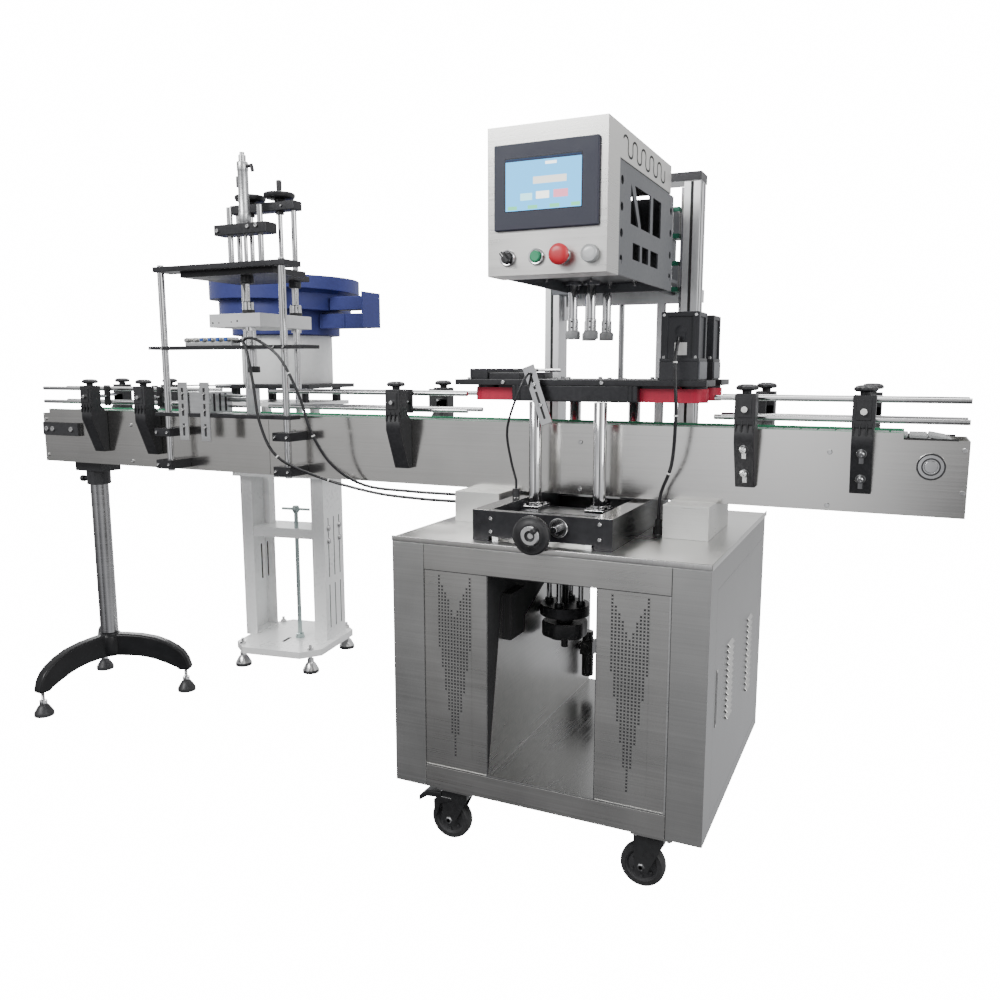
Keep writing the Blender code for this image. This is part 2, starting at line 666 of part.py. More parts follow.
# The belt's bed, pulleys and cover plate, with the gear head, motor and tension block on top.
def belt_frame():
    plate = block(TOP_PLATE_X0, TOP_PLATE_X1, TOP_PLATE_Y0, TOP_PLATE_Y1, TOP_PLATE_Z0, TOP_PLATE_Z1)
    belt_front = BELT_AXIS_Y - BELT_RADIUS - GAP
    roof = TOP_PLATE_Z0 + 0.001
    backing = block(BACKING_X0, BACKING_X1, TOP_PLATE_Y0 + 0.002, belt_front, BELT_Z0 - BACKING_DROP, roof)
    core = BELT_RADIUS - BELT_THICK - GAP
    pulleys = [upright(x, BELT_AXIS_Y, BELT_Z0, roof, core) for x in (BELT_X0, BELT_X1)]
    bed = block(BELT_X0 + core + 0.01, BELT_X1 - core - 0.01, BELT_AXIS_Y - core, BELT_AXIS_Y + core, BELT_Z0, roof)
    y = (BELT_AXIS_Y - MOTOR_SIZE / 2, BELT_AXIS_Y + MOTOR_SIZE / 2 - 0.002)
    gear = block(MOTOR_X0 - 0.002, MOTOR_X0 + MOTOR_SIZE - 0.002, *y, TOP_PLATE_Z1 - 0.001, GEAR_TOP_Z)
    motor = block(MOTOR_X0, MOTOR_X0 + MOTOR_SIZE, y[0] + 0.001, y[1] - 0.001, GEAR_TOP_Z - 0.001, MOTOR_TOP_Z)
    tension = block(0.295, 0.345, -0.040, 0.030, TOP_PLATE_Z1 - 0.001, TOP_PLATE_Z1 + 0.026)
    return fused(plate, backing, *pulleys, bed, gear, motor, tension)


def belt_solid():
    outer = oblong(BELT_X0, BELT_X1, BELT_AXIS_Y, BELT_RADIUS)
    inner = oblong(BELT_X0, BELT_X1, BELT_AXIS_Y, BELT_RADIUS - BELT_THICK)
    return slab("xy", [outer, inner], BELT_Z0, BELT_Z0 + BELT_HEIGHT)


def gripping_belts():
    y = POST_Y - POST_RADIUS - 0.001
    arm = block(-0.015, 0.015, y - 0.005, y, -0.075, 0.070)
    arm.transform(Matrix.Translation((0.497, 0, 1.062)) @ Matrix.Rotation(math.radians(-20), 4, "Y"))
    arm = fused(arm, block(0.474, 0.494, y - 0.001, TOP_PLATE_Y0 + 0.001, TOP_PLATE_Z0 + 0.002, TOP_PLATE_Z1 - 0.001))
    node("front_carriage", CHROME, belt_carriage())
    node("front_belt_frame", DARK, fused(belt_frame(), arm))
    node("front_belt", RED, belt_solid())
    node("rear_carriage", CHROME, mirrored(belt_carriage()))
    node("rear_belt_frame", DARK, mirrored(belt_frame()))
    node("rear_belt", RED, mirrored(belt_solid()))


# Casters: a fork that swivels below its plate and a wheel that runs on the fork's axle.
def caster(label, x, y):
    wheel_x = x - CASTER_TRAIL
    crown_top = CAB_Z0 - GAP - CASTER_PLATE_THICK
    crown = upright(x, y, crown_top - 0.014, crown_top, 0.028)
    yoke_half = WHEEL_WIDTH / 2 + FORK_THICK + 0.0015
    bridge = block(wheel_x - 0.018, x + 0.022, y - yoke_half, y + yoke_half, 0.110, crown_top - 0.010)
    outline = [(wheel_x - 0.014, 0.040), (wheel_x + 0.014, 0.040), (x + 0.022, 0.112), (x + 0.022, 0.120),
               (wheel_x - 0.018, 0.120), (wheel_x - 0.018, 0.100)]
    near = slab("xz", [outline], y - yoke_half, y - yoke_half + FORK_THICK)
    far = slab("xz", [outline], y + yoke_half - FORK_THICK, y + yoke_half)
    axle = across(wheel_x, WHEEL_RADIUS, y - yoke_half - 0.003, y + yoke_half + 0.003, AXLE_RADIUS, COARSE)
    fork = fused(bridge, crown, near, far, axle)
    fork_node = node("caster_fork_" + label, CHROME, fork, (x, y, crown_top))
    half = WHEEL_WIDTH / 2
    bore = AXLE_RADIUS + GAP
    profile = [(bore, half), (0.017, half), (0.036, half - 0.003), (WHEEL_RADIUS - 0.004, half),
               (WHEEL_RADIUS, half - 0.005), (WHEEL_RADIUS, 0.005 - half), (WHEEL_RADIUS - 0.004, -half),
               (0.036, 0.003 - half), (0.017, -half), (bore, -half), (bore, half)]
    wheel = turned(profile, 0, 0)
    wheel.transform(Matrix.Translation((wheel_x, y, WHEEL_RADIUS)) @ Matrix.Rotation(math.radians(90), 4, "X"))
    node("caster_wheel_" + label, PLASTIC, wheel, (wheel_x, y, WHEEL_RADIUS))
    return fork_node


def casters():
    labels = (("front_left", "front_right"), ("rear_left", "rear_right"))
    for row, y in zip(labels, CASTER_YS):
        for label, x in zip(row, CASTER_XS):
            caster(label, x, y)
    x = CASTER_XS[0] - CASTER_TRAIL - 0.018 - GAP
    y = CASTER_YS[0]
    outline = [(x, 0.104), (x, 0.119), (x - 0.040, 0.116), (x - 0.062, 0.098), (x - 0.062, 0.084), (x - 0.040, 0.100)]
    pedal = slab("xz", [outline], y - 0.024, y + 0.024)
    node("brake_pedal", PLASTIC, pedal, (x, y, outline[0][1]))


# Conveyor: a stainless channel with its ends closed, open on top for the chain, with its edge strips,
# support blocks, bearing rings, tension block and fixed idler.
def conveyor():
    body = block(CONV_X0, CONV_X1, 0.0, CONV_WIDTH, CONV_BOTTOM, CONV_TOP)
    hollow = block(CONV_X0 + SHEET, CONV_X1 - SHEET, SHEET, CONV_WIDTH - SHEET, CONV_BOTTOM + SHEET, CONV_TOP + 0.01)
    frame = cut(body, hollow)
    top = CONV_BOTTOM + 0.001
    bottom = CAB_Z1 + GAP
    left_block = block(SUPPORT_LEFT_X0, COLUMN_LEFT_X0 - 0.002, SUPPORT_Y0, SUPPORT_Y1, bottom, top)
    right_block = block(SUPPORT_RIGHT_X0, SUPPORT_RIGHT_X1, SUPPORT_Y0, SUPPORT_Y1, bottom, top)
    z = (CONV_TOP - 0.001, CONV_TOP + STRIP_HEIGHT)
    front_strip = block(STRIP_X0, STRIP_X1, 0.0, STRIP_WIDTH, *z)
    rear_strip = block(STRIP_X0, STRIP_X1, CONV_WIDTH - STRIP_WIDTH, CONV_WIDTH, *z)
    tension = block(TENSION_X0, TENSION_X0 + TENSION_LENGTH, -0.0123, 0.001, CHAIN_AXIS_Z - 0.018, CHAIN_AXIS_Z + 0.025)
    rings = [across(DRIVE_X, CHAIN_AXIS_Z, y0, y1, BEARING_RADIUS)
             for y0, y1 in ((-0.005, 0.001), (CONV_WIDTH - 0.001, CONV_WIDTH + 0.005))]
    idler = fused(across(IDLER_X, CHAIN_AXIS_Z, STRIP_WIDTH + 2 * GAP, CONV_WIDTH - STRIP_WIDTH - 2 * GAP, drum_radius()),
                  across(IDLER_X, CHAIN_AXIS_Z, 0.001, CONV_WIDTH - 0.001, SHAFT_RADIUS))
    bore = across(DRIVE_X, CHAIN_AXIS_Z, -0.01, CONV_WIDTH + 0.01, SHAFT_RADIUS + GAP)
    frame = fused(frame, left_block, right_block, front_strip, rear_strip, tension, *rings, idler)
    node("conveyor_frame", STEEL, cut(frame, bore))
    outer = oblong(IDLER_X, DRIVE_X, CHAIN_AXIS_Z, CHAIN_RADIUS)
    inner = oblong(IDLER_X, DRIVE_X, CHAIN_AXIS_Z, CHAIN_RADIUS - CHAIN_THICKNESS)
    chain = slab("xz", [outer, inner], STRIP_WIDTH + GAP, CONV_WIDTH - STRIP_WIDTH - GAP)
    node("conveyor_chain", CHAIN, chain)
    node("drive_shaft", CHROME, drum_on_shaft(DRIVE_X), (DRIVE_X, CONV_MID, CHAIN_AXIS_Z))


# The drum stays inside the flats of the chain's own many-sided curve.
def drum_radius():
    return CHAIN_RADIUS - CHAIN_THICKNESS - DRUM_CLEARANCE


def drum_on_shaft(x):
    half = CONV_MID - STRIP_WIDTH - 2 * GAP
    reach = CONV_MID + 0.006
    profile = [(0.0, reach), (SHAFT_RADIUS, reach), (SHAFT_RADIUS, half), (drum_radius(), half),
               (drum_radius(), -half), (SHAFT_RADIUS, -half), (SHAFT_RADIUS, -reach), (0.0, -reach)]
    drum = turned(profile, 0, 0)
    drum.transform(Matrix.Translation((x, CONV_MID, CHAIN_AXIS_Z)) @ Matrix.Rotation(math.radians(90), 4, "X"))
    return drum


# One rail bracket with its knob, its pin and the saddle that holds the two rods.
def bracket(x):
    reach = -BRACKET_REACH
    back = reach + BRACKET_HEAD_DEPTH
    outline = [(-GAP, BRACKET_FOOT_Z), (-GAP, CONV_TOP + 0.008), (back, CONV_TOP + 0.030), (back, BRACKET_TOP_Z),
               (reach, BRACKET_TOP_Z), (reach, BRACKET_KNEE_Z), (-BRACKET_FOOT_DEPTH, BRACKET_FOOT_Z)]
    half = BRACKET_WIDTH / 2
    body = slab("yz", [outline], x - half, x + half)
    knob = upright(x, (reach + back) / 2, BRACKET_TOP_Z - 0.001, BRACKET_TOP_Z + KNOB_HEIGHT, KNOB_RADIUS, 10)
    tip = RAIL_INSET - ROD_RADIUS / 2
    pin = across(x, PIN_Z, reach - 0.010, tip - 0.003, ROD_RADIUS, COARSE)
    saddle = block(x - 0.010, x + 0.010, tip - 0.009, tip, RAIL_LOW_Z - 0.008, RAIL_HIGH_Z + 0.008)
    return fused(body, knob, pin, saddle)


# One side of a rail set: two parallel rods on their brackets.
def rail(x0, x1, bracket_xs):
    rods = [rod((x0, RAIL_INSET, z), (x1, RAIL_INSET, z), ROD_RADIUS, COARSE) for z in (RAIL_LOW_Z, RAIL_HIGH_Z)]
    brackets = [bracket(x) for x in bracket_xs]
    return fused(brackets[0], *rods, *brackets[1:])


def guide_rails():
    for label, (x0, x1), fronts, rears in zip(("left", "middle", "right"), RAIL_SETS, FRONT_BRACKETS, REAR_BRACKETS):
        node("rail_" + label + "_front", PLASTIC, rail(x0, x1, fronts))
        node("rail_" + label + "_rear", PLASTIC, mirrored(rail(x0, x1, rears)))


# Leg: a pole with its clamp head, and a cast tripod whose arms arch down to the levelling feet.
def leg():
    z = LEG_HEAD_PLATE_Z0
    plate = block(LEG_X - 0.061, LEG_X + 0.061, CONV_MID - 0.040, CONV_MID + 0.040, z, CONV_BOTTOM - GAP)
    grip = upright(LEG_X, CONV_MID, LEG_HEAD_Z0, z + 0.002, LEG_POLE_RADIUS + 0.009)
    pole = upright(LEG_X, CONV_MID, LEG_POLE_Z0 + GAP, LEG_HEAD_Z0 + 0.002, LEG_POLE_RADIUS, 20)
    node("leg_pole", STEEL, fused(plate, grip, pole))
    base = upright(LEG_X, CONV_MID, 0.130, LEG_POLE_Z0, LEG_HUB_RADIUS)
    arch = [(0.010, 0.210), (0.112, 0.206), (0.164, 0.196), (0.204, 0.180), (0.237, 0.160), (0.257, 0.142), (0.270, 0.120),
            (0.279, 0.092), (0.279, FOOT_TOP_Z), (0.237, FOOT_TOP_Z), (0.231, 0.086), (0.204, 0.099), (0.164, 0.115),
            (0.132, 0.1235), (0.099, 0.129), (0.046, 0.131), (0.010, 0.131)]
    half = LEG_ARM_WIDTH / 2
    for i in range(3):
        angle = LEG_FIRST_ANGLE + i * math.radians(120)
        arm = slab("xz", [arch], -half, half)
        arm.transform(Matrix.Translation((LEG_X, CONV_MID, 0)) @ Matrix.Rotation(angle, 4, "Z"))
        foot = levelling_foot(LEG_X + LEG_SPREAD * math.cos(angle), CONV_MID + LEG_SPREAD * math.sin(angle), FOOT_TOP_Z)
        base = fused(base, arm, foot)
    node("leg_base", DARK, base)


def levelling_foot(x, y, seat):
    top = seat + 0.003
    profile = [(0.0, top), (0.006, top), (0.006, 0.052), (0.012, 0.052), (0.012, 0.040),
               (0.018, 0.034), (PAD_RADIUS, 0.012), (PAD_RADIUS, 0.0), (0.0, 0.0)]
    return turned(profile, x, y, 0, 12)


# Columns with their linear tracks, and the black bars that tie them.
def columns():
    solids = []
    for x0, side in ((COLUMN_LEFT_X0, 1), (COLUMN_RIGHT_X0, -1)):
        y0 = COLUMN_Y0
        body = block(x0, x0 + COLUMN_WIDTH, y0, y0 + COLUMN_DEPTH, CAB_Z1 + GAP, COLUMN_TOP_Z)
        centre_y = y0 + COLUMN_DEPTH / 2
        inner_face = x0 + COLUMN_WIDTH if side > 0 else x0
        edges = sorted((inner_face - side * 0.001, inner_face + side * TRACK_THICK))
        track = block(*edges, centre_y - TRACK_WIDTH / 2, centre_y + TRACK_WIDTH / 2, TRACK_Z0, TRACK_Z1)
        bore = upright(x0 + COLUMN_WIDTH / 2, centre_y, CAB_Z1 - 0.01, COLUMN_BORE_TOP, COLUMN_BORE)
        solids.append(cut(fused(body, track), bore))
    x = (COLUMN_LEFT_X0, COLUMN_RIGHT_X0 + COLUMN_WIDTH)
    back = COLUMN_Y0 + COLUMN_DEPTH
    cap = block(x[0] - 0.002, x[1] + 0.002, COLUMN_Y0 - 0.002, back + 0.002, COLUMN_TOP_Z - 0.001,
                COLUMN_TOP_Z + TOP_BAR_HEIGHT)
    y = (back - 0.001, back + CROSS_DEPTH)
    cross = block(*x, *y, CROSS_Z0, CROSS_Z1)
    bar = block(0.685, 0.705, *y, 0.850, CROSS_Z0 + 0.002)
    rod_y = back + CROSS_DEPTH / 2
    stay = upright(0.587, rod_y, 1.040, CROSS_Z0 + 0.002, 0.008, COARSE)
    foot = upright(0.587, rod_y, 1.030, 1.041, 0.018, COARSE)
    node("column_frame", ALUMINIUM, fused(cap, *solids, cross, bar, stay, foot))


# Head box: an upright front case with a long hood over the side plates.
def head():
    front = block(HEAD_X0, HEAD_X1, HEAD_FRONT_Y, HEAD_STEP_Y, HEAD_Z0, HEAD_Z1)
    hood = block(HEAD_X0, HEAD_X1, HEAD_STEP_Y - 0.002, HEAD_BACK_Y, HEAD_STEP_Z, HEAD_Z1)
    x = (HEAD_X0 + SHEET, HEAD_X1 - SHEET)
    case = block(*x, HEAD_FRONT_Y + SHEET, HEAD_STEP_Y + 0.01, HEAD_Z0 + SHEET, HEAD_Z1 - SHEET)
    under = block(*x, HEAD_FRONT_Y + SHEET, HEAD_BACK_Y - SHEET, HEAD_STEP_Z - 0.01, HEAD_Z1 - SHEET)
    box = cut(fused(front, hood), case, under)
    y = HEAD_FRONT_Y
    for x in CONTROL_XS[:3]:
        ring = across(x, CONTROL_Z, y - BEZEL_THICK, y + 0.001, BEZEL_RADIUS)
        box = fused(box, cut(ring, across(x, CONTROL_Z, y - 0.02, y + 0.01, BUTTON_RADIUS + GAP)))
    box = fused(box, across(CONTROL_XS[3], CONTROL_Z, y - 0.014, y + 0.001, 0.016))
    node("head_box", STEEL, box)
    node("head_frame", DARK_SHEET, head_frame())
    screen = block(SCREEN_X0, SCREEN_X1, y - GAP - SCREEN_THICK, y - GAP, SCREEN_Z0, SCREEN_Z1)
    node("touch_screen", PLASTIC, screen)
    controls(y - GAP)


def controls(y):
    face = y - BEZEL_THICK - 0.006
    x = CONTROL_XS[0]
    cap = across(x, CONTROL_Z, face, y - GAP, BUTTON_RADIUS)
    lever = block(-0.0035, 0.0035, face - 0.009, face + 0.001, -0.012, 0.012)
    lever.transform(Matrix.Translation((x, 0, CONTROL_Z)) @ Matrix.Rotation(math.radians(-40), 4, "Y"))
    node("selector_knob", PLASTIC, fused(cap, lever), (x, y, CONTROL_Z))
    x = CONTROL_XS[1]
    node("start_button", BUTTON_GREEN, across(x, CONTROL_Z, face, y - 0.0035, BUTTON_RADIUS), (x, y, CONTROL_Z))
    x = CONTROL_XS[2]
    profile = [(0.0, 0.030), (0.014, 0.029), (STOP_RADIUS, 0.025), (STOP_RADIUS, 0.018), (0.014, 0.0155),
               (BUTTON_RADIUS, 0.0145), (BUTTON_RADIUS, 0.0055), (0.0, 0.0055)]
    button = turned(profile, 0, 0)
    button.transform(Matrix.Translation((x, y, CONTROL_Z)) @ Matrix.Rotation(math.radians(90), 4, "X"))
    node("stop_button", BUTTON_RED, button, (x, y, CONTROL_Z))


# A perforated side plate: round holes near its upright edges, windows below and braces between them above.
def side_plate(x0):
    x1 = x0 + SIDE_THICK
    y0 = HEAD_STEP_Y + GAP
    tools = []
    through = (x0 - 0.01, x1 + 0.01)
    for y in (y0 + 0.022, SIDE_BACK_Y - 0.022):
        for i in range(4):
            z = SIDE_Z0 + 0.031 + i * 0.050
            tools.append(rod((through[0], y, z), (through[1], y, z), 0.009, 8))
    for a, b in SIDE_LOW_WINDOWS:
        tools.append(block(*through, HEAD_STEP_Y + a, HEAD_STEP_Y + b, SIDE_Z0 + 0.039, SIDE_Z0 + 0.072))
    for corners in SIDE_HIGH_WINDOWS:
        outline = [(HEAD_STEP_Y + y, SIDE_Z0 + z) for y, z in corners]
        tools.append(slab("yz", [outline], *through))
    return cut(block(x0, x1, y0, SIDE_BACK_Y, SIDE_Z0, HEAD_STEP_Z - GAP), *tools)


def head_frame():
    left = HEAD_X0 + SIDE_INSET
    right = HEAD_X1 - SIDE_INSET - SIDE_THICK
    track_left = COLUMN_LEFT_X0 + COLUMN_WIDTH + TRACK_THICK + GAP
    track_right = COLUMN_RIGHT_X0 - TRACK_THICK - GAP
    cheek_left = track_left + CARRIAGE_THICK
    cheek_right = track_right - CARRIAGE_THICK - CHEEK_THICK
    deck = block(left + 0.001, right + SIDE_THICK - 0.001, HEAD_STEP_Y + 0.010, 0.165, DECK_Z0, DECK_Z0 + DECK_THICK)
    back = block(cheek_left + 0.001, right + SIDE_THICK - 0.001, SIDE_BACK_Y - 0.010, SIDE_BACK_Y - 0.002, SIDE_Z0 + 0.001,
                 HEAD_STEP_Z - 0.002)
    drive = block(left + 0.008, SPINDLE_XS[1] + 0.028, SPINDLE_YS[0] - 0.028, SPINDLE_YS[1] + 0.026,
                  SPINDLE_TOP_Z + GAP, SPINDLE_TOP_Z + 0.070)
    parts = [side_plate(left), side_plate(right), deck, drive]
    y_mid = COLUMN_Y0 + COLUMN_DEPTH / 2
    for cheek, carriage in ((cheek_left, track_left), (cheek_right, track_right - CARRIAGE_THICK)):
        parts.append(block(cheek, cheek + CHEEK_THICK, SIDE_BACK_Y - 0.006, y_mid + 0.020, SIDE_Z0 + 0.004, HEAD_STEP_Z - 0.004))
        inner = (carriage - (0.001 if cheek < carriage else 0.0), carriage + CARRIAGE_THICK + (0.001 if cheek > carriage else 0.0))
        for z0, z1 in ((1.446, 1.522), (1.315, 1.390)):
            parts.append(block(*inner, y_mid - 0.022, y_mid + 0.022, z0, z1))
    body = fused(back, *parts)
    for x in SPINDLE_XS:
        for y in SPINDLE_YS:
            body = cut(body, upright(x, y, DECK_Z0 - 0.01, DECK_Z0 + DECK_THICK + 0.01, SPINDLE_RADIUS + GAP))
    return body


def spindles():
    profile = [(0.0, SPINDLE_TOP_Z), (SPINDLE_RADIUS, SPINDLE_TOP_Z), (SPINDLE_RADIUS, COLLAR_Z1),
               (0.0105, COLLAR_Z1), (0.0105, CHUCK_Z1 + 0.002), (CHUCK_RADIUS - 0.003, CHUCK_Z1),
               (CHUCK_RADIUS, CHUCK_Z1 - 0.003), (CHUCK_RADIUS, CHUCK_Z0 + 0.002), (CHUCK_RADIUS - 0.002, CHUCK_Z0),
               (0.0, CHUCK_Z0)]
    for row, y in zip(("front", "rear"), SPINDLE_YS):
        for side, x in zip(("left", "right"), SPINDLE_XS):
            node("spindle_" + row + "_" + side, RUBBER, turned(profile, x, y), (x, y, CHUCK_Z0))


# Placing station's front frame: two posts in their clamps, the low bar, the thin plate, the valve
# manifold, the slotted sensor brackets and the bottle stop.
def station_front():
    y = STATION_POST_Y
    reach = (-CLAMP_REACH, -GAP)
    parts = []
    for x in STATION_XS:
        parts.append(upright(x, y, FOOT_CLAMP_Z0 + 0.004, DECK_A_Z0 - GAP, STATION_POST_RADIUS))
        parts.append(block(x - CLAMP_HALF, x + CLAMP_HALF, *reach, FOOT_CLAMP_Z0, FOOT_CLAMP_Z1))
        parts.append(block(x - CLAMP_HALF, x + CLAMP_HALF, *reach, MID_CLAMP_Z0, MID_CLAMP_Z1))
    parts.append(block(-0.756, -0.190, y - 0.025, -0.002, THIN_PLATE_Z0, THIN_PLATE_Z1))
    parts.append(block(-0.617, -0.446, y - 0.018, y + 0.024, THIN_PLATE_Z1 - 0.001, THIN_PLATE_Z1 + 0.024))
    front = y - LOW_BAR_HALF
    for x0, x1 in SENSOR_BRACKETS:
        outline = [(x0, 0.912), (x1, 0.912), (x1, 1.082), (x0, 1.082)]
        slot = [(x0 + 0.012, 0.930), (x1 - 0.012, 0.930), (x1 - 0.012, 0.970), (x0 + 0.012, 0.970)]
        parts.append(slab("xz", [outline, slot], front - 0.004, front + 0.001))
    stop_z = LOW_BAR_Z1 + 0.038
    parts.append(block(STOP_BOX_X0, STOP_BOX_X1, y - 0.018, y + 0.095, LOW_BAR_Z1 - 0.001, stop_z + 0.024))
    parts.append(rod((STOP_BOX_X1 - 0.001, y + 0.080, stop_z), (STOP_PLATE_X + 0.003, y + 0.080, stop_z), 0.007, COARSE))
    parts.append(block(STOP_PLATE_X, STOP_PLATE_X + 0.005, y + 0.052, y + 0.110, stop_z - 0.040, stop_z + 0.033))
    bar = block(STATION_XS[0] - 0.032, STATION_XS[1] + 0.030, y - LOW_BAR_HALF, y + LOW_BAR_HALF, LOW_BAR_Z0, LOW_BAR_Z1)
    node("station_front_frame", CHROME, fused(bar, *parts))


# The deck on its rear posts, with the cylinder's rods and clamp block, and the bridge with its posts.
def station_deck():
    floor = DECK_A_Z0 + 0.001
    deck = fused(block(-0.732, -0.251, -0.065, 0.007, DECK_A_Z0, DECK_A_Z1),
                 block(DECK_B_X0, DECK_B_X1, -0.030, DECK_B_Y1, DECK_B_Z0, floor))
    reach = (CONV_WIDTH + GAP, CONV_WIDTH + CLAMP_REACH)
    parts = []
    for x in REAR_POST_XS:
        parts.append(upright(x, REAR_POST_Y, FOOT_CLAMP_Z0 + 0.004, floor - 0.004, STATION_POST_RADIUS))
        parts.append(block(x - CLAMP_HALF, x + CLAMP_HALF, *reach, FOOT_CLAMP_Z0, FOOT_CLAMP_Z1))
        parts.append(block(x - CLAMP_HALF, x + CLAMP_HALF, *reach, MID_CLAMP_Z0, MID_CLAMP_Z1))
    for x in UPPER_ROD_XS:
        parts.append(upright(x, CYLINDER_Y, floor - 0.004, UPPER_ROD_TOP, 0.006, COARSE))
    for x in (BRIDGE_X0 + 0.016, BRIDGE_X1 - 0.016):
        foot = floor if x < DECK_B_X1 else DECK_A_Z1
        parts.append(upright(x, BRIDGE_Y, foot - 0.004, BRIDGE_Z0 + 0.004, 0.008, COARSE))
    parts.append(block(-0.550, -0.360, -0.002, 0.046, CLAMP_BLOCK_Z0, CLAMP_BLOCK_Z1))
    parts.append(block(BRIDGE_X0, BRIDGE_X1, BRIDGE_Y - 0.020, BRIDGE_Y + 0.020, BRIDGE_Z0, BRIDGE_Z1))
    body = fused(deck, *parts)
    rod_hole = upright(CYLINDER_X, CYLINDER_Y, DECK_B_Z0 - 0.01, CLAMP_BLOCK_Z1 + 0.01, PULL_RADIUS + GAP)
    screw_holes = [upright(x, BRIDGE_Y, BRIDGE_Z0 - 0.01, BRIDGE_Z1 + 0.01, 0.007 + GAP) for x in STATION_WHEEL_XS]
    node("station_deck", DARK, cut(body, rod_hole, *screw_holes))
    barrel = upright(CYLINDER_X, CYLINDER_Y, CLAMP_BLOCK_Z1 + GAP, CYLINDER_Z1, CYLINDER_RADIUS)
    bore = upright(CYLINDER_X, CYLINDER_Y, CLAMP_BLOCK_Z1 - 0.01, CYLINDER_Z1 - 0.020, PULL_RADIUS + GAP)
    node("station_cylinder", ALUMINIUM, cut(barrel, bore))


# The placing block slides on the rear post, hung from the cylinder's rod, with a press rod below it.
def placing_block():
    body = block(BLOCK_X0, BLOCK_X1, BLOCK_Y0, BLOCK_Y1, BLOCK_Z0, BLOCK_Z1)
    bush = upright(REAR_POST_XS[1], REAR_POST_Y, BLOCK_Z1 - 0.002, BLOCK_Z1 + 0.034, 0.018)
    front_bush = upright(CYLINDER_X, CYLINDER_Y, BLOCK_Z1 - 0.002, BLOCK_Z1 + 0.034, 0.0165)
    pull = upright(CYLINDER_X, CYLINDER_Y, BLOCK_Z1 + 0.030, 1.600, PULL_RADIUS, FINE)
    press = upright(CYLINDER_X, 0.035, 1.125, BLOCK_Z0 + 0.002, 0.010)
    tip = upright(CYLINDER_X, 0.035, 1.110, 1.128, 0.018)
    body = fused(body, bush, front_bush, pull, press, tip)
    bore = upright(REAR_POST_XS[1], REAR_POST_Y, BLOCK_Z0 - 0.01, BLOCK_Z1 + 0.05, STATION_POST_RADIUS + GAP)
    node("placing_block", WHITE, cut(body, bore))


def station_wheels():
    for label, x in zip(("left", "right"), STATION_WHEEL_XS):
        z = STATION_WHEEL_Z0
        r = STATION_WHEEL_RADIUS
        foot = DECK_A_Z0 + 0.001 + GAP
        profile = [(0.0, z + 0.030), (0.012, z + 0.030), (0.016, z + 0.018), (r - 0.010, z + 0.018), (r, z + 0.012),
                   (r, z + 0.004), (r - 0.008, z), (0.016, z), (0.014, BRIDGE_Z1 + GAP), (0.007, BRIDGE_Z1 + GAP),
                   (0.007, foot), (0.0, foot)]
        wheel = turned(profile, x, BRIDGE_Y)
        if label == "right":
            wheel = fused(wheel, upright(x, BRIDGE_Y, z + 0.026, z + 0.060, 0.008, COARSE))
        node("station_wheel_" + label, DARK, wheel, (x, BRIDGE_Y, z))


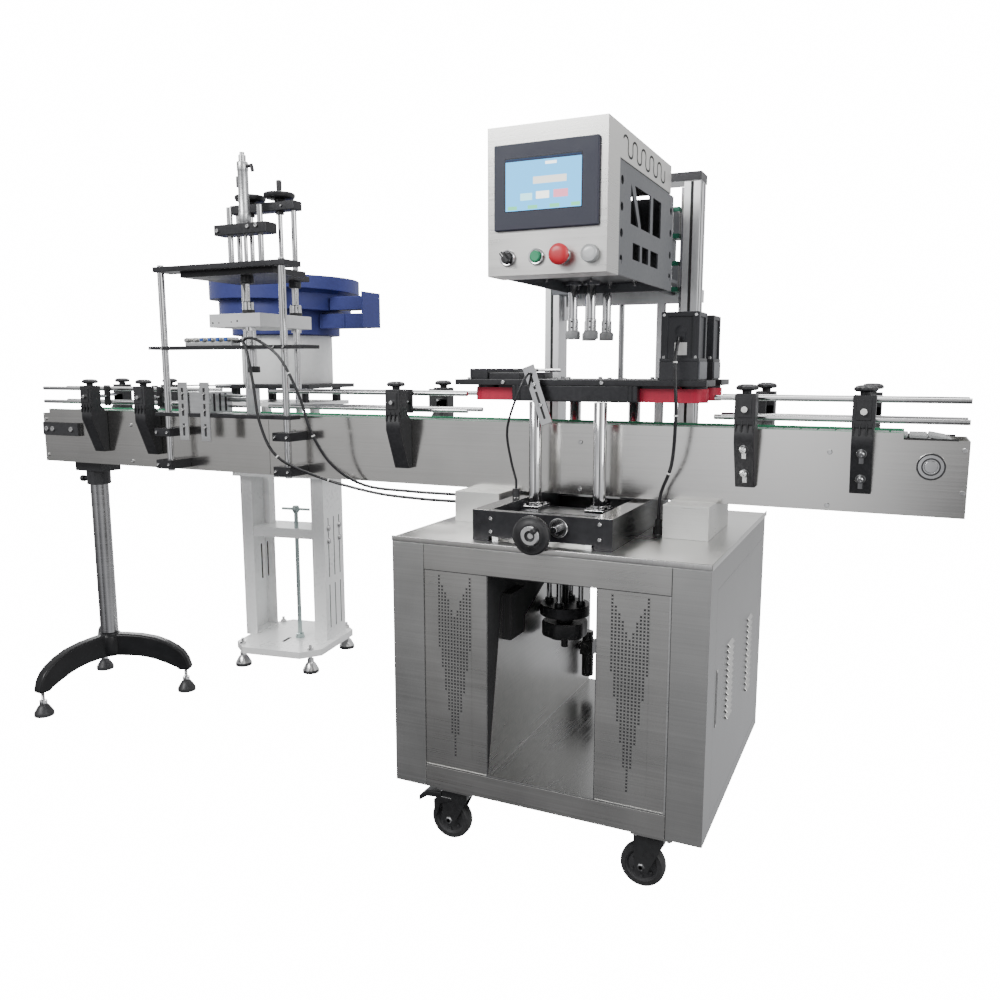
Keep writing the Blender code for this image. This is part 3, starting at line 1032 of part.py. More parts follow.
# Stand: a chamfered foot plate and two open channels, with the lift frame running between them.
def stand():
    w = STAND_PLATE_WIDTH / 2
    d = STAND_PLATE_DEPTH / 2
    c = STAND_CHAMFER
    outline = [(-w + c, -d), (w - c, -d), (w, -d + c), (w, d - c), (w - c, d), (-w + c, d), (-w, d - c), (-w, -d + c)]
    foot = slab("xy", [outline], STAND_PLATE_Z0, STAND_PLATE_Z1)
    top = STAND_COLUMN_TOP
    parts = []
    for x0, x1, open_low, open_high in ((-0.197, -0.150, 0.0, 0.01), (0.103, 0.155, -0.01, 0.0)):
        column = block(x0, x1, -0.038, 0.119, STAND_PLATE_Z1 - 0.001, top)
        low = x0 + STAND_WALL if open_high else x0 + open_low
        high = x1 + open_high if open_high else x1 - STAND_WALL
        hollow = block(low, high, -0.038 + STAND_WALL, 0.119 - STAND_WALL, STAND_PLATE_Z1 + 0.004, top - 0.006)
        parts.append(cut(column, hollow))
    deck = block(-0.215, 0.173, -0.060, 0.141, top - 0.001, top + STAND_TOP_PLATE)
    window = block(-0.142, 0.095, -0.014, 0.094, top - 0.02, top + 0.03)
    feet = [levelling_foot(sx * STAND_FOOT_DX, sy * STAND_FOOT_DY, STAND_PLATE_Z0) for sx in (-1, 1) for sy in (-1, 1)]
    body = fused(foot, *parts, cut(deck, window), *feet)
    node("stand_frame", WHITE, turned_about_stand(body))
    cross = block(-0.1497, 0.1027, -0.0335, 0.1145, LIFT_PLATE_Z0, LIFT_PLATE_Z1)
    uprights = [block(x, x + 0.020, 0.036, 0.080, LIFT_PLATE_Z1 - 0.002, PLATFORM_Z0 + 0.002) for x in (-0.138, 0.071)]
    platform = block(-0.175, 0.175, -0.160, 0.160, PLATFORM_Z0, PLATFORM_Z1)
    bore = upright(LIFT_SCREW_X, LIFT_SCREW_Y, LIFT_PLATE_Z0 - 0.01, LIFT_PLATE_Z1 + 0.01, LIFT_SCREW_RADIUS + GAP)
    lift = cut(fused(cross, *uprights, platform), bore)
    node("stand_platform", WHITE, turned_about_stand(lift))
    screw = turned([(0.0, LIFT_HANDLE_Z), (LIFT_SCREW_RADIUS, LIFT_HANDLE_Z), (LIFT_SCREW_RADIUS, 0.100),
                    (0.016, 0.100), (0.018, STAND_PLATE_Z1 + GAP), (0.0, STAND_PLATE_Z1 + GAP)],
                   LIFT_SCREW_X, LIFT_SCREW_Y, 0, 16)
    handle = rod((LIFT_SCREW_X - LIFT_HANDLE_REACH, LIFT_SCREW_Y, LIFT_HANDLE_Z),
                 (LIFT_SCREW_X + LIFT_HANDLE_REACH, LIFT_SCREW_Y, LIFT_HANDLE_Z), 0.007, COARSE)
    c, s = math.cos(STAND_TURN), math.sin(STAND_TURN)
    axis = (STAND_X + LIFT_SCREW_X * c - LIFT_SCREW_Y * s, STAND_Y + LIFT_SCREW_X * s + LIFT_SCREW_Y * c, LIFT_HANDLE_Z)
    node("height_screw", CHROME, turned_about_stand(fused(screw, handle)), axis)


def feeder():
    plate = block(-0.190, 0.190, -0.180, 0.180, FEEDER_PLATE_Z0, FEEDER_PLATE_Z1)
    spacers = [upright(x, y, PLATFORM_Z1 + GAP, FEEDER_PLATE_Z0 + 0.001, 0.018, COARSE)
               for x in (-0.140, 0.140) for y in (-0.125, 0.125)]
    node("feeder_base", DARK, turned_about_stand(fused(plate, *spacers)))
    z0 = FEEDER_PLATE_Z1 + GAP
    drum = [(0.0, DRUM_TOP_Z), (DRUM_RADIUS, DRUM_TOP_Z), (DRUM_RADIUS, z0), (0.0, z0)]
    node("feeder_drum", WHITE, turned(drum, BOWL_X, BOWL_Y, 0, 32))
    t = BOWL_WALL
    r1, r2, r3 = BOWL_RADIUS, BOWL_STEP_RADIUS, BOWL_FOOT_RADIUS
    floor = DRUM_TOP_Z + GAP
    profile = [(0.0, floor + 0.030), (r3 * 0.5, floor + 0.012), (r3 - t, floor + t), (r3 - t, BOWL_FOOT_STEP_Z + t),
               (r2 - t, BOWL_FOOT_STEP_Z + t), (r2 - t, BOWL_STEP_Z + t), (r1 - t, BOWL_STEP_Z + t),
               (r1 - t, BOWL_TOP_Z), (r1, BOWL_TOP_Z), (r1, BOWL_STEP_Z), (r2, BOWL_STEP_Z), (r2, BOWL_FOOT_STEP_Z),
               (r3, BOWL_FOOT_STEP_Z), (r3, floor), (0.0, floor)]
    bowl = turned(profile, BOWL_X, BOWL_Y, 0, 32)
    node("feeder_bowl", BLUE, fused(bowl, chute()))


# The outlet at the bowl's right side: a box on the step's wall, a track below it and a plate that closes both.
def chute():
    x1 = BOWL_X + CHUTE_REACH
    y0 = BOWL_Y - 0.060
    y1 = BOWL_Y + 0.010
    box = block(BOWL_X + BOWL_STEP_RADIUS - 0.002, x1, y0, y1, BOWL_STEP_Z - 0.050, BOWL_STEP_Z - 0.004)
    track = block(BOWL_X + BOWL_FOOT_RADIUS - 0.002, x1, y0, y1, BOWL_FOOT_STEP_Z - 0.053, BOWL_FOOT_STEP_Z - 0.003)
    plate = block(x1 - 0.006, x1, y0 - 0.040, y1, BOWL_FOOT_STEP_Z - 0.053, BOWL_STEP_Z + 0.007)
    return fused(box, track, plate)


def cord(name, points, radius):
    curve = bpy.data.curves.new(name, "CURVE")
    curve.dimensions = "3D"
    curve.bevel_depth = radius
    curve.bevel_resolution = 2
    curve.use_fill_caps = True
    route = smooth(points, 0.034)
    spline = curve.splines.new("POLY")
    spline.points.add(len(route) - 1)
    for target, point in zip(spline.points, route):
        target.co = (*point, 1.0)
    node(name, PLASTIC, weld(evaluated(bpy.data.objects.new(name, curve))))


# A smooth curve through the route's points, read at even steps, between straight first and last legs.
def smooth(points, step):
    pts = [Vector(p) for p in points]
    dense = []
    for i in range(1, len(pts) - 2):
        p0, p1, p2, p3 = pts[i - 1:i + 3]
        for k in range(24):
            t = k / 24
            dense.append(0.5 * (2 * p1 + (p2 - p0) * t + (2 * p0 - 5 * p1 + 4 * p2 - p3) * t ** 2
                                + (3 * p1 - p0 - 3 * p2 + p3) * t ** 3))
    dense.append(pts[-2])
    total = sum((b - a).length for a, b in zip(dense, dense[1:]))
    count = max(2, round(total / step))
    result = [dense[0]]
    travelled = 0.0
    for a, b in zip(dense, dense[1:]):
        length = (b - a).length
        while len(result) < count and travelled + length >= total * len(result) / count:
            result.append(a.lerp(b, (total * len(result) / count - travelled) / length))
        travelled += length
    return [pts[0], *result, dense[-1], pts[-1]]


def cords():
    cord("station_hose_long", [(-0.4457, -0.050, 1.198), (-0.432, -0.050, 1.198), (-0.405, -0.070, 1.200),
                               (-0.370, -0.092, 1.170), (-0.345, -0.100, 1.080), (-0.325, -0.102, 0.970),
                               (-0.270, -0.100, 0.880), (-0.160, -0.060, 0.825), (0.000, -0.040, 0.790),
                               (0.140, -0.030, 0.780), (0.240, -0.030, 0.780), (0.2697, -0.030, 0.780)], 0.004)
    cord("station_hose_short", [(-0.4457, -0.038, 1.198), (-0.430, -0.038, 1.198), (-0.390, -0.066, 1.206),
                                (-0.330, -0.090, 1.198), (-0.250, -0.100, 1.150), (-0.190, -0.100, 1.050),
                                (-0.160, -0.090, 0.950), (-0.120, -0.055, 0.860), (-0.040, -0.020, 0.805),
                                (0.100, -0.010, 0.795), (0.240, -0.010, 0.795), (0.2697, -0.010, 0.795)], 0.004)
    cord("sensor_cable", [(0.479, -0.0873, 1.110), (0.479, -0.097, 1.110), (0.462, -0.112, 1.070),
                          (0.430, -0.108, 0.980), (0.430, -0.085, 0.900), (0.437, -0.070, 0.850),
                          (0.437, -0.070, 0.8307)], 0.003)
    cord("motor_cable", [(0.828, -0.0478, 1.190), (0.828, -0.062, 1.190), (0.826, -0.082, 1.140),
                         (0.832, -0.088, 1.020), (0.822, -0.070, 0.910), (0.792, -0.038, 0.840),
                         (0.785, -0.030, 0.800), (0.785, -0.030, 0.7722)], 0.004)


cabinet_body()
side_door()
regulator()
jack_frame()
jack_handwheel()
base_box()
base_handwheel()
gripping_belts()
casters()
conveyor()
guide_rails()
leg()
columns()
head()
spindles()
station_front()
station_deck()
placing_block()
station_wheels()
stand()
feeder()
cords()
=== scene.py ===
# Screw capping machine on its line, dressed for the studio.
# Every section is one piece of the machine, in the order in which it is put together.
import json
import math

import bpy
from mathutils import Matrix, Vector

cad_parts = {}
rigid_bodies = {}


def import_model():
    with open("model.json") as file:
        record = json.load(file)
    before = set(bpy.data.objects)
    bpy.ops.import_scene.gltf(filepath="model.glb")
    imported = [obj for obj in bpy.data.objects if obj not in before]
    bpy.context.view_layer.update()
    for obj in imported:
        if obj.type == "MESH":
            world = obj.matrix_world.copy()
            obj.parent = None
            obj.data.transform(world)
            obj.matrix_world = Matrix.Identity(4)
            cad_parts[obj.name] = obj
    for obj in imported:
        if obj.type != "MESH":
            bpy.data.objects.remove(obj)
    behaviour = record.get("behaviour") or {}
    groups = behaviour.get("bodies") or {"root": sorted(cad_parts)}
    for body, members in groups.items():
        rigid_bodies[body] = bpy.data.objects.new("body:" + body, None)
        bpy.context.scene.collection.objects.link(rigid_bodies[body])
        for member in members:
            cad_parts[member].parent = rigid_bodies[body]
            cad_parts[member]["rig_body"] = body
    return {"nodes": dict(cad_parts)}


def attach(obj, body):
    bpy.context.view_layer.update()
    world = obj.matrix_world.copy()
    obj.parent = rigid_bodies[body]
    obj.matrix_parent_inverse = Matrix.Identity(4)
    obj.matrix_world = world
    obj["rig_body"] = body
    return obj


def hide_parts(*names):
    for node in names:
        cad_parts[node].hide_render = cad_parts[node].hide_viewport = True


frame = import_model()
for extra in ("Cube", "Light", "Camera"):
    if extra in bpy.data.objects:
        bpy.data.objects.remove(bpy.data.objects[extra])
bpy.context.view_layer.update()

# Camera and light.
# The camera stands to the right on the operator's side, a little above the belt, and looks slightly down.
# The line's own frame has y = 0 on the conveyor's front face; LINE carries it to the machine's frame.
LINE = Vector((-0.0010794, -0.24155, 0.0))
camera_data = bpy.data.cameras.new("studio_camera")
camera_data.sensor_width = 36.0
camera_data.lens = 31.30
camera_data.clip_end = 100.0
camera_yaw = 0.4346
camera_dip = 0.1511
camera = bpy.data.objects.new("studio_camera", camera_data)
bpy.context.scene.collection.objects.link(camera)
camera.location = Vector((1.294, -2.0107, 1.1242)) + LINE
turn_left = Matrix.Rotation(camera_yaw, 4, "Z")
look_down = Matrix.Rotation(math.radians(90) - camera_dip, 4, "X")
camera.rotation_euler = (turn_left @ look_down).to_euler()
bpy.context.scene.camera = camera


def only(piece):
    bpy.ops.object.select_all(action="DESELECT")
    piece.select_set(True)
    bpy.context.view_layer.objects.active = piece


def soft_light(name, place, aim, size, power):
    data = bpy.data.lights.new(name, "AREA")
    data.shape = "RECTANGLE"
    data.size, data.size_y = size
    data.energy = power
    lamp = bpy.data.objects.new(name, data)
    bpy.context.scene.collection.objects.link(lamp)
    lamp.location = place
    lamp.rotation_euler = (Vector(aim) - Vector(place)).to_track_quat("-Z", "Y").to_euler()


soft_light("key_light", (-1.6, -4.2, 3.6), (0.2, 0, 0.8), (2.6, 1.6), 190)
soft_light("fill_light", (4.6, -1.6, 2.6), (0.5, 0, 0.8), (1.6, 2.4), 75)
soft_light("top_light", (0.0, 0.5, 4.4), (0, 0, 1.0), (3.6, 1.6), 110)
soft_light("rim_light", (-3.4, 2.6, 2.4), (-0.4, 0, 1.0), (1.6, 2.2), 70)

# The studio is white behind the machine; the steel sees pale walls above, a darker floor below, and a few
# darker gaps between the panels.
world = bpy.data.worlds.new("studio_walls")
bpy.context.scene.world = world
world.use_nodes = True
walls = world.node_tree
walls.nodes.clear()


def wall_node(kind, operation=None, **values):
    node = walls.nodes.new("ShaderNode" + kind)
    if operation:
        node.operation = operation
    for socket, value in values.items():
        node.inputs[socket.replace("_", " ")].default_value = value
    return node


# The first and the last stop are the two that a ramp starts with.
def set_stops(ramp, stops):
    for end, (place, colour) in ((0, stops[0]), (1, stops[-1])):
        ramp.elements[end].position = place
        ramp.elements[end].color = (*colour, 1)
    for place, colour in stops[1:-1]:
        ramp.elements.new(place).color = (*colour, 1)


w_out = wall_node("OutputWorld")
w_mix = wall_node("MixShader")
w_path = wall_node("LightPath")
w_plain = wall_node("Background", Color=(1.0, 1.0, 1.0, 1), Strength=16.0)
w_panels = wall_node("Background", Strength=1.25)
w_place = wall_node("TexCoord")
w_lean = wall_node("VectorMath", "DOT_PRODUCT")
w_lean.inputs[1].default_value = (0.30, 0.15, 1.0)
w_half = wall_node("MapRange", From_Min=-1.0)
w_ramp = wall_node("ValToRGB")
height_tones = ((0.24, 0.26), (0.31, 0.54), (0.37, 0.90), (0.43, 1.0), (0.52, 0.62))
set_stops(w_ramp.color_ramp, [(0.10, (0.10, 0.10, 0.105))]
          + [(place, (tone, tone, tone * 1.01)) for place, tone in height_tones] + [(0.62, (1.0, 1.0, 1.0))])
w_noise = wall_node("TexNoise", Scale=1.9, Detail=1.0)
w_gaps = wall_node("ValToRGB")
set_stops(w_gaps.color_ramp, [(0.40, (0.62, 0.625, 0.64)), (0.56, (1.0, 1.0, 1.0))])
w_blend = wall_node("VectorMath", "MULTIPLY")
# Seen from the machine, the wall on the operator's side is brightest a little to the left, dim to the right.
w_parts = wall_node("SeparateXYZ")
w_back = wall_node("Math", "MULTIPLY")
w_back.inputs[1].default_value = -1.0
w_turn = wall_node("Math", "ARCTAN2")
w_share = wall_node("MapRange", From_Min=-math.pi, From_Max=math.pi)
w_side = wall_node("ValToRGB")
side_tones = ((0.20, 0.41), (0.30, 0.28), (0.36, 0.27), (0.40, 0.40), (0.447, 0.50), (0.474, 0.86),
              (0.489, 0.86), (0.501, 0.36), (0.513, 0.10), (0.56, 0.17), (0.62, 0.41))
set_stops(w_side.color_ramp, [(place, (tone, tone, tone)) for place, tone in side_tones])
w_lift = wall_node("VectorMath", "SCALE", Scale=2.4)
w_level = wall_node("VectorMath", "MULTIPLY")
for source, output, target, socket in (
        (w_place, "Generated", w_lean, 0), (w_lean, "Value", w_half, "Value"),
        (w_half, "Result", w_ramp, "Fac"),
        (w_place, "Generated", w_noise, "Vector"), (w_noise, "Fac", w_gaps, "Fac"),
        (w_ramp, "Color", w_blend, 0), (w_gaps, "Color", w_blend, 1),
        (w_place, "Generated", w_parts, "Vector"), (w_parts, "Y", w_back, 0), (w_parts, "X", w_turn, 0),
        (w_back, "Value", w_turn, 1), (w_turn, "Value", w_share, "Value"), (w_share, "Result", w_side, "Fac"),
        (w_side, "Color", w_lift, 0), (w_blend, "Vector", w_level, 0), (w_lift, "Vector", w_level, 1),
        (w_level, "Vector", w_panels, "Color"), (w_path, "Is Camera Ray", w_mix, "Fac"),
        (w_panels, "Background", w_mix, 1), (w_plain, "Background", w_mix, 2),
        (w_mix, "Shader", w_out, "Surface")):
    walls.links.new(source.outputs[output], target.inputs[socket])

# Air hoses and cables.
# Black polyurethane hoses run from the placing station's valve block to the cabinet, and two PVC cables
# from the belt unit to glands; each is pushed into its fitting and held at both ends.


def finish(name, colour, roughness, metallic=0.0, vary=0.06, size=(30, 30, 30), bump=0.05, rough_vary=0.10,
           coat=0.0, speck=None, shine=0.5):
    look = bpy.data.materials.new(name)
    look.use_nodes = True
    tree = look.node_tree
    shader = tree.nodes["Principled BSDF"]
    shader.inputs["Metallic"].default_value = metallic
    shader.inputs["Coat Weight"].default_value = coat
    shader.inputs["Coat Roughness"].default_value = 0.15
    shader.inputs["Specular IOR Level"].default_value = shine
    place = tree.nodes.new("ShaderNodeTexCoord")
    stretch = tree.nodes.new("ShaderNodeMapping")
    stretch.inputs["Scale"].default_value = size
    grain = tree.nodes.new("ShaderNodeTexNoise")
    grain.inputs["Scale"].default_value = 1.0
    grain.inputs["Detail"].default_value = 6.0
    cloud = tree.nodes.new("ShaderNodeTexNoise")
    cloud.inputs["Scale"].default_value = 7.0
    cloud.inputs["Detail"].default_value = 3.0
    blend = tree.nodes.new("ShaderNodeMath")
    blend.operation = "ADD"
    shade = tree.nodes.new("ShaderNodeValToRGB")
    dark = [max(0.0, c * (1 - vary)) for c in colour]
    light = [min(1.0, c * (1 + vary) + 0.01 * vary) for c in colour]
    set_stops(shade.color_ramp, [(0.35, dark), (0.65, light)])
    halve = tree.nodes.new("ShaderNodeMath")
    halve.operation = "MULTIPLY"
    halve.inputs[1].default_value = 0.5
    rough = tree.nodes.new("ShaderNodeMapRange")
    rough.inputs["From Min"].default_value = 0.3
    rough.inputs["From Max"].default_value = 0.7
    rough.inputs["To Min"].default_value = max(0.03, roughness - rough_vary)
    rough.inputs["To Max"].default_value = min(1.0, roughness + rough_vary)
    relief = tree.nodes.new("ShaderNodeBump")
    relief.inputs["Strength"].default_value = bump
    relief.inputs["Distance"].default_value = 0.001
    link = tree.links.new
    link(place.outputs["Object"], stretch.inputs["Vector"])
    link(stretch.outputs["Vector"], grain.inputs["Vector"])
    link(place.outputs["Object"], cloud.inputs["Vector"])
    link(grain.outputs["Fac"], blend.inputs[0])
    link(cloud.outputs["Fac"], blend.inputs[1])
    link(blend.outputs["Value"], halve.inputs[0])
    link(halve.outputs["Value"], shade.inputs["Fac"])
    link(halve.outputs["Value"], rough.inputs["Value"])
    link(rough.outputs["Result"], shader.inputs["Roughness"])
    link(grain.outputs["Fac"], relief.inputs["Height"])
    link(relief.outputs["Normal"], shader.inputs["Normal"])
    link(shade.outputs["Color"], shader.inputs["Base Color"])
    if speck:
        spots = tree.nodes.new("ShaderNodeTexVoronoi")
        spots.inputs["Scale"].default_value = speck[1]
        edge = tree.nodes.new("ShaderNodeValToRGB")
        set_stops(edge.color_ramp, [(0.02, (1, 1, 1)), (0.06, (0, 0, 0))])
        over = tree.nodes.new("ShaderNodeMix")
        over.data_type = "RGBA"
        over.inputs["B"].default_value = (*speck[0], 1)
        link(place.outputs["Object"], spots.inputs["Vector"])
        link(spots.outputs["Distance"], edge.inputs["Fac"])
        link(edge.outputs["Color"], over.inputs["Factor"])
        link(shade.outputs["Color"], over.inputs["A"])
        link(over.outputs["Result"], shader.inputs["Base Color"])
    return look


HOSE_BLACK = finish("black_hose", (0.012, 0.012, 0.014), 0.32, vary=0.25, size=(60, 60, 60), bump=0.03)
TIE_WHITE = finish("white_tie", (0.80, 0.80, 0.78), 0.40, vary=0.04)
HOSE_RADIUS = 0.004
SENSOR_CABLE_RADIUS = 0.003
ROUTE_STEP = 0.020


def smooth_route(points, step):
    pts = [Vector(p) for p in points]
    dense = []
    for i in range(1, len(pts) - 2):
        p0, p1, p2, p3 = pts[i - 1:i + 3]
        for k in range(24):
            t = k / 24
            dense.append(0.5 * (2 * p1 + (p2 - p0) * t + (2 * p0 - 5 * p1 + 4 * p2 - p3) * t ** 2
                                + (3 * p1 - p0 - 3 * p2 + p3) * t ** 3))
    dense.append(pts[-2])
    total = sum((b - a).length for a, b in zip(dense, dense[1:]))
    count = max(2, round(total / step))
    route = [dense[0]]
    travelled = 0.0
    for a, b in zip(dense, dense[1:]):
        length = (b - a).length
        while len(route) < count and travelled + length >= total * len(route) / count:
            route.append(a.lerp(b, (total * len(route) / count - travelled) / length))
        travelled += length
    return [pts[0], *route, dense[-1], pts[-1]]


def run_cord(node, points, radius, look, ties=()):
    route = smooth_route(points, ROUTE_STEP)
    curve = bpy.data.curves.new(node + "_run", "CURVE")
    curve.dimensions = "3D"
    curve.bevel_depth = radius
    curve.bevel_resolution = 4
    curve.use_fill_caps = True
    spline = curve.splines.new("POLY")
    spline.points.add(len(route) - 1)
    spline.use_smooth = True
    for target, point in zip(spline.points, route):
        target.co = (*(point + LINE), 1.0)
    piece = bpy.data.objects.new(node + "_run", curve)
    bpy.context.scene.collection.objects.link(piece)
    curve.materials.append(look)
    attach(piece, "machine")
    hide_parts(node)
    straps = []
    for share in ties:
        k = round(share * (len(route) - 1))
        along = (route[k + 1] - route[k - 1]).normalized()
        bpy.ops.object.select_all(action="DESELECT")
        bpy.ops.mesh.primitive_cylinder_add(vertices=20, radius=radius + 0.0012, depth=0.0036,
                                            location=(0, 0, 0))
        strap = bpy.context.object
        strap.name = node + "_tie_" + str(len(straps) + 1)
        strap.data.transform(Vector((0, 0, 1)).rotation_difference(along).to_matrix().to_4x4())
        strap.data.transform(Matrix.Translation(route[k] + LINE))
        strap.data.materials.append(TIE_WHITE)
        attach(strap, "machine")
        straps.append(strap)


run_cord("station_hose_long", [
    (-0.4457, -0.050, 1.198), (-0.432, -0.050, 1.198), (-0.405, -0.070, 1.200), (-0.370, -0.092, 1.170),
    (-0.345, -0.100, 1.080), (-0.325, -0.102, 0.970), (-0.270, -0.100, 0.880), (-0.160, -0.060, 0.825),
    (0.000, -0.040, 0.790), (0.140, -0.030, 0.780), (0.240, -0.030, 0.780), (0.2697, -0.030, 0.780)],
    HOSE_RADIUS, HOSE_BLACK, ties=(0.42, 0.60))
run_cord("station_hose_short", [
    (-0.4457, -0.038, 1.198), (-0.430, -0.038, 1.198), (-0.390, -0.066, 1.206), (-0.330, -0.090, 1.198),
    (-0.250, -0.100, 1.150), (-0.190, -0.100, 1.050), (-0.160, -0.090, 0.950), (-0.120, -0.055, 0.860),
    (-0.040, -0.020, 0.805), (0.100, -0.010, 0.795), (0.240, -0.010, 0.795), (0.2697, -0.010, 0.795)],
    HOSE_RADIUS, HOSE_BLACK, ties=(0.30, 0.48))
run_cord("sensor_cable", [
    (0.479, -0.0873, 1.110), (0.479, -0.097, 1.110), (0.462, -0.112, 1.070), (0.430, -0.108, 0.980),
    (0.430, -0.085, 0.900), (0.437, -0.070, 0.850), (0.437, -0.070, 0.8307)], SENSOR_CABLE_RADIUS, HOSE_BLACK)
run_cord("motor_cable", [
    (0.828, -0.0478, 1.190), (0.828, -0.062, 1.190), (0.826, -0.082, 1.140), (0.832, -0.088, 1.020),
    (0.822, -0.070, 0.910), (0.792, -0.038, 0.840), (0.785, -0.030, 0.800), (0.785, -0.030, 0.7722)],
    HOSE_RADIUS, HOSE_BLACK, ties=(0.16, 0.45, 0.72))

# Cabinet.
# A folded stainless body, its wide corner posts and top ground to a horizontal brush and then polished; the
# front panels are set back between the posts, and a bay runs through the middle.
STEEL = finish("brushed_stainless", (0.50, 0.495, 0.48), 0.30, 1.0, vary=0.08, size=(3, 3, 420), bump=0.006,
               rough_vary=0.05)
# The corner posts take a slightly darker, duller copy of the cabinet steel: painted shade.
SHADED_POST_STEEL = finish("post_stainless_painted_shade", (0.47, 0.47, 0.46), 0.34, 1.0, vary=0.07, size=(3, 3, 420),
                    bump=0.006,
                    rough_vary=0.05)
POLISHED = finish("polished_stainless", (0.56, 0.555, 0.54), 0.13, 1.0, vary=0.06, size=(260, 3, 3),
                  bump=0.004,
                  rough_vary=0.04)
# Near-black for painted shade: thin strips and discs stand in for the shade in slots, seams, holes and gaps.
# It is also the real black of the bay's switch box and the cable gland.
PAINTED_SHADE_AND_BLACK = finish("painted_shade_and_black", (0.018, 0.018, 0.019), 0.8, vary=0.2)


def settle(piece, name, body, looks, nodes=(), shift=LINE):
    only(piece)
    bpy.ops.object.transform_apply(location=True, rotation=True, scale=True)
    piece.data.transform(Matrix.Translation(shift))
    piece.name = name
    piece.data.name = name
    piece.data.materials.clear()
    for look in looks:
        piece.data.materials.append(look)
    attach(piece, body)
    if nodes:
        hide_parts(*nodes)
    return piece


def soften(piece, width, segments=2, angle=40):
    only(piece)
    edge = piece.modifiers.new("edge", "BEVEL")
    edge.width = width
    edge.segments = segments
    edge.limit_method = "ANGLE"
    edge.angle_limit = math.radians(angle)
    edge.use_clamp_overlap = True
    bpy.ops.object.modifier_apply(modifier="edge")
    bpy.ops.object.shade_smooth_by_angle(angle=math.radians(angle))
    level = piece.modifiers.new("level", "WEIGHTED_NORMAL")
    level.keep_sharp = True
    bpy.ops.object.modifier_apply(modifier="level")
    return piece


def in_box(centre, low, high):
    return all(low[k] <= centre[k] <= high[k] for k in range(3))


# A CAD node's own shape, with its triangles merged and its edges broken; each region is (number, low, high).
def dressed(node, looks, width=0.0008, regions=(), angle=40):
    bpy.ops.object.select_all(action="DESELECT")
    cad = frame["nodes"][node]
    piece = bpy.data.objects.new(node + "_dressed", cad.data.copy())
    bpy.context.scene.collection.objects.link(piece)
    only(piece)
    bpy.ops.mesh.customdata_custom_splitnormals_clear()
    bpy.ops.object.mode_set(mode="EDIT")
    bpy.ops.mesh.select_all(action="SELECT")
    bpy.ops.mesh.remove_doubles(threshold=0.00001)
    bpy.ops.mesh.dissolve_limited(angle_limit=math.radians(0.6))
    bpy.ops.object.mode_set(mode="OBJECT")
    soften(piece, width, 2, angle)
    settle(piece, node + "_dressed", cad["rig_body"], looks, (node,), Vector((0, 0, 0)))
    for face in piece.data.polygons:
        for number, low, high in regions:
            if in_box(face.center - LINE, low, high):
                face.material_index = number
    return piece


BAY_WALL = finish("bay_wall_stainless", (0.60, 0.60, 0.59), 0.33, 1.0, vary=0.08, size=(3, 3, 300),
                  bump=0.006)
# The bay floor is a darker copy of the same steel: painted shade inside the bay.
SHADED_BAY_FLOOR = finish("bay_floor_stainless_painted_shade", (0.21, 0.21, 0.21), 0.25, 1.0, vary=0.12, size=(260, 3, 3),
                   bump=0.003)
# A darker copy of the cabinet steel for the right side and its door: painted shade on that side.
SHADED_SIDE_STEEL = finish("side_stainless_painted_shade", (0.36, 0.36, 0.355), 0.32, 1.0, vary=0.08, size=(3, 3, 420),
                    bump=0.006,
                    rough_vary=0.05)
right_side = (5, (0.9660, -0.3195, 0.141), (0.9703, 0.40, 0.728))
top_folds = (1, (-9, -9, 0.700), (9, 9, 0.7385))
bay_walls = (3, (0.4772, -0.4, 0.19), (0.7330, 0.5, 0.74))
bay_floor = (4, (0.479, -0.4, 0.180), (0.731, 0.5, 0.212))
outlet_box = (2, (0.477, -0.245, 0.49), (0.501, -0.155, 0.62))
cable_gland = (2, (0.770, -0.046, 0.7390), (0.800, -0.014, 0.78))
column_feet = (1, (0.39, 0.21, 0.7390), (0.81, 0.29, 1.05))
dressed("cabinet_body", [STEEL, POLISHED, PAINTED_SHADE_AND_BLACK, BAY_WALL, SHADED_BAY_FLOOR, SHADED_SIDE_STEEL],
        0.0016,
        [right_side, top_folds, bay_walls, bay_floor, outlet_box, cable_gland, column_feet], 30)


def block(name, low, high, width=0.001, segments=2):
    bpy.ops.object.select_all(action="DESELECT")
    centre = [(a + b) / 2 for a, b in zip(low, high)]
    bpy.ops.mesh.primitive_cube_add(size=1.0, location=centre)
    piece = bpy.context.object
    piece.name = name
    piece.scale = [b - a for a, b in zip(low, high)]
    bpy.ops.object.transform_apply(location=False, rotation=False, scale=True)
    return soften(piece, width, segments) if width else piece


def joined(pieces):
    if len(pieces) == 1:
        return pieces[0]
    bpy.ops.object.select_all(action="DESELECT")
    for piece in pieces:
        piece.select_set(True)
    bpy.context.view_layer.objects.active = pieces[0]
    bpy.ops.object.join()
    return bpy.context.object


# Perforated door panels.
# Two stainless panels with rows of punched round holes, set 1 mm back between the corner post and the bay; the
# holes are near-black faces of painted shade, not cut through.
HOLE_COLUMNS = 11
HOLES_TOP, HOLES_BOTTOM = 0.660, 0.228
POINT_LOW, EDGE_LOW = 0.231, 0.515
POINT_HIGH, EDGE_HIGH = 0.566, 0.668


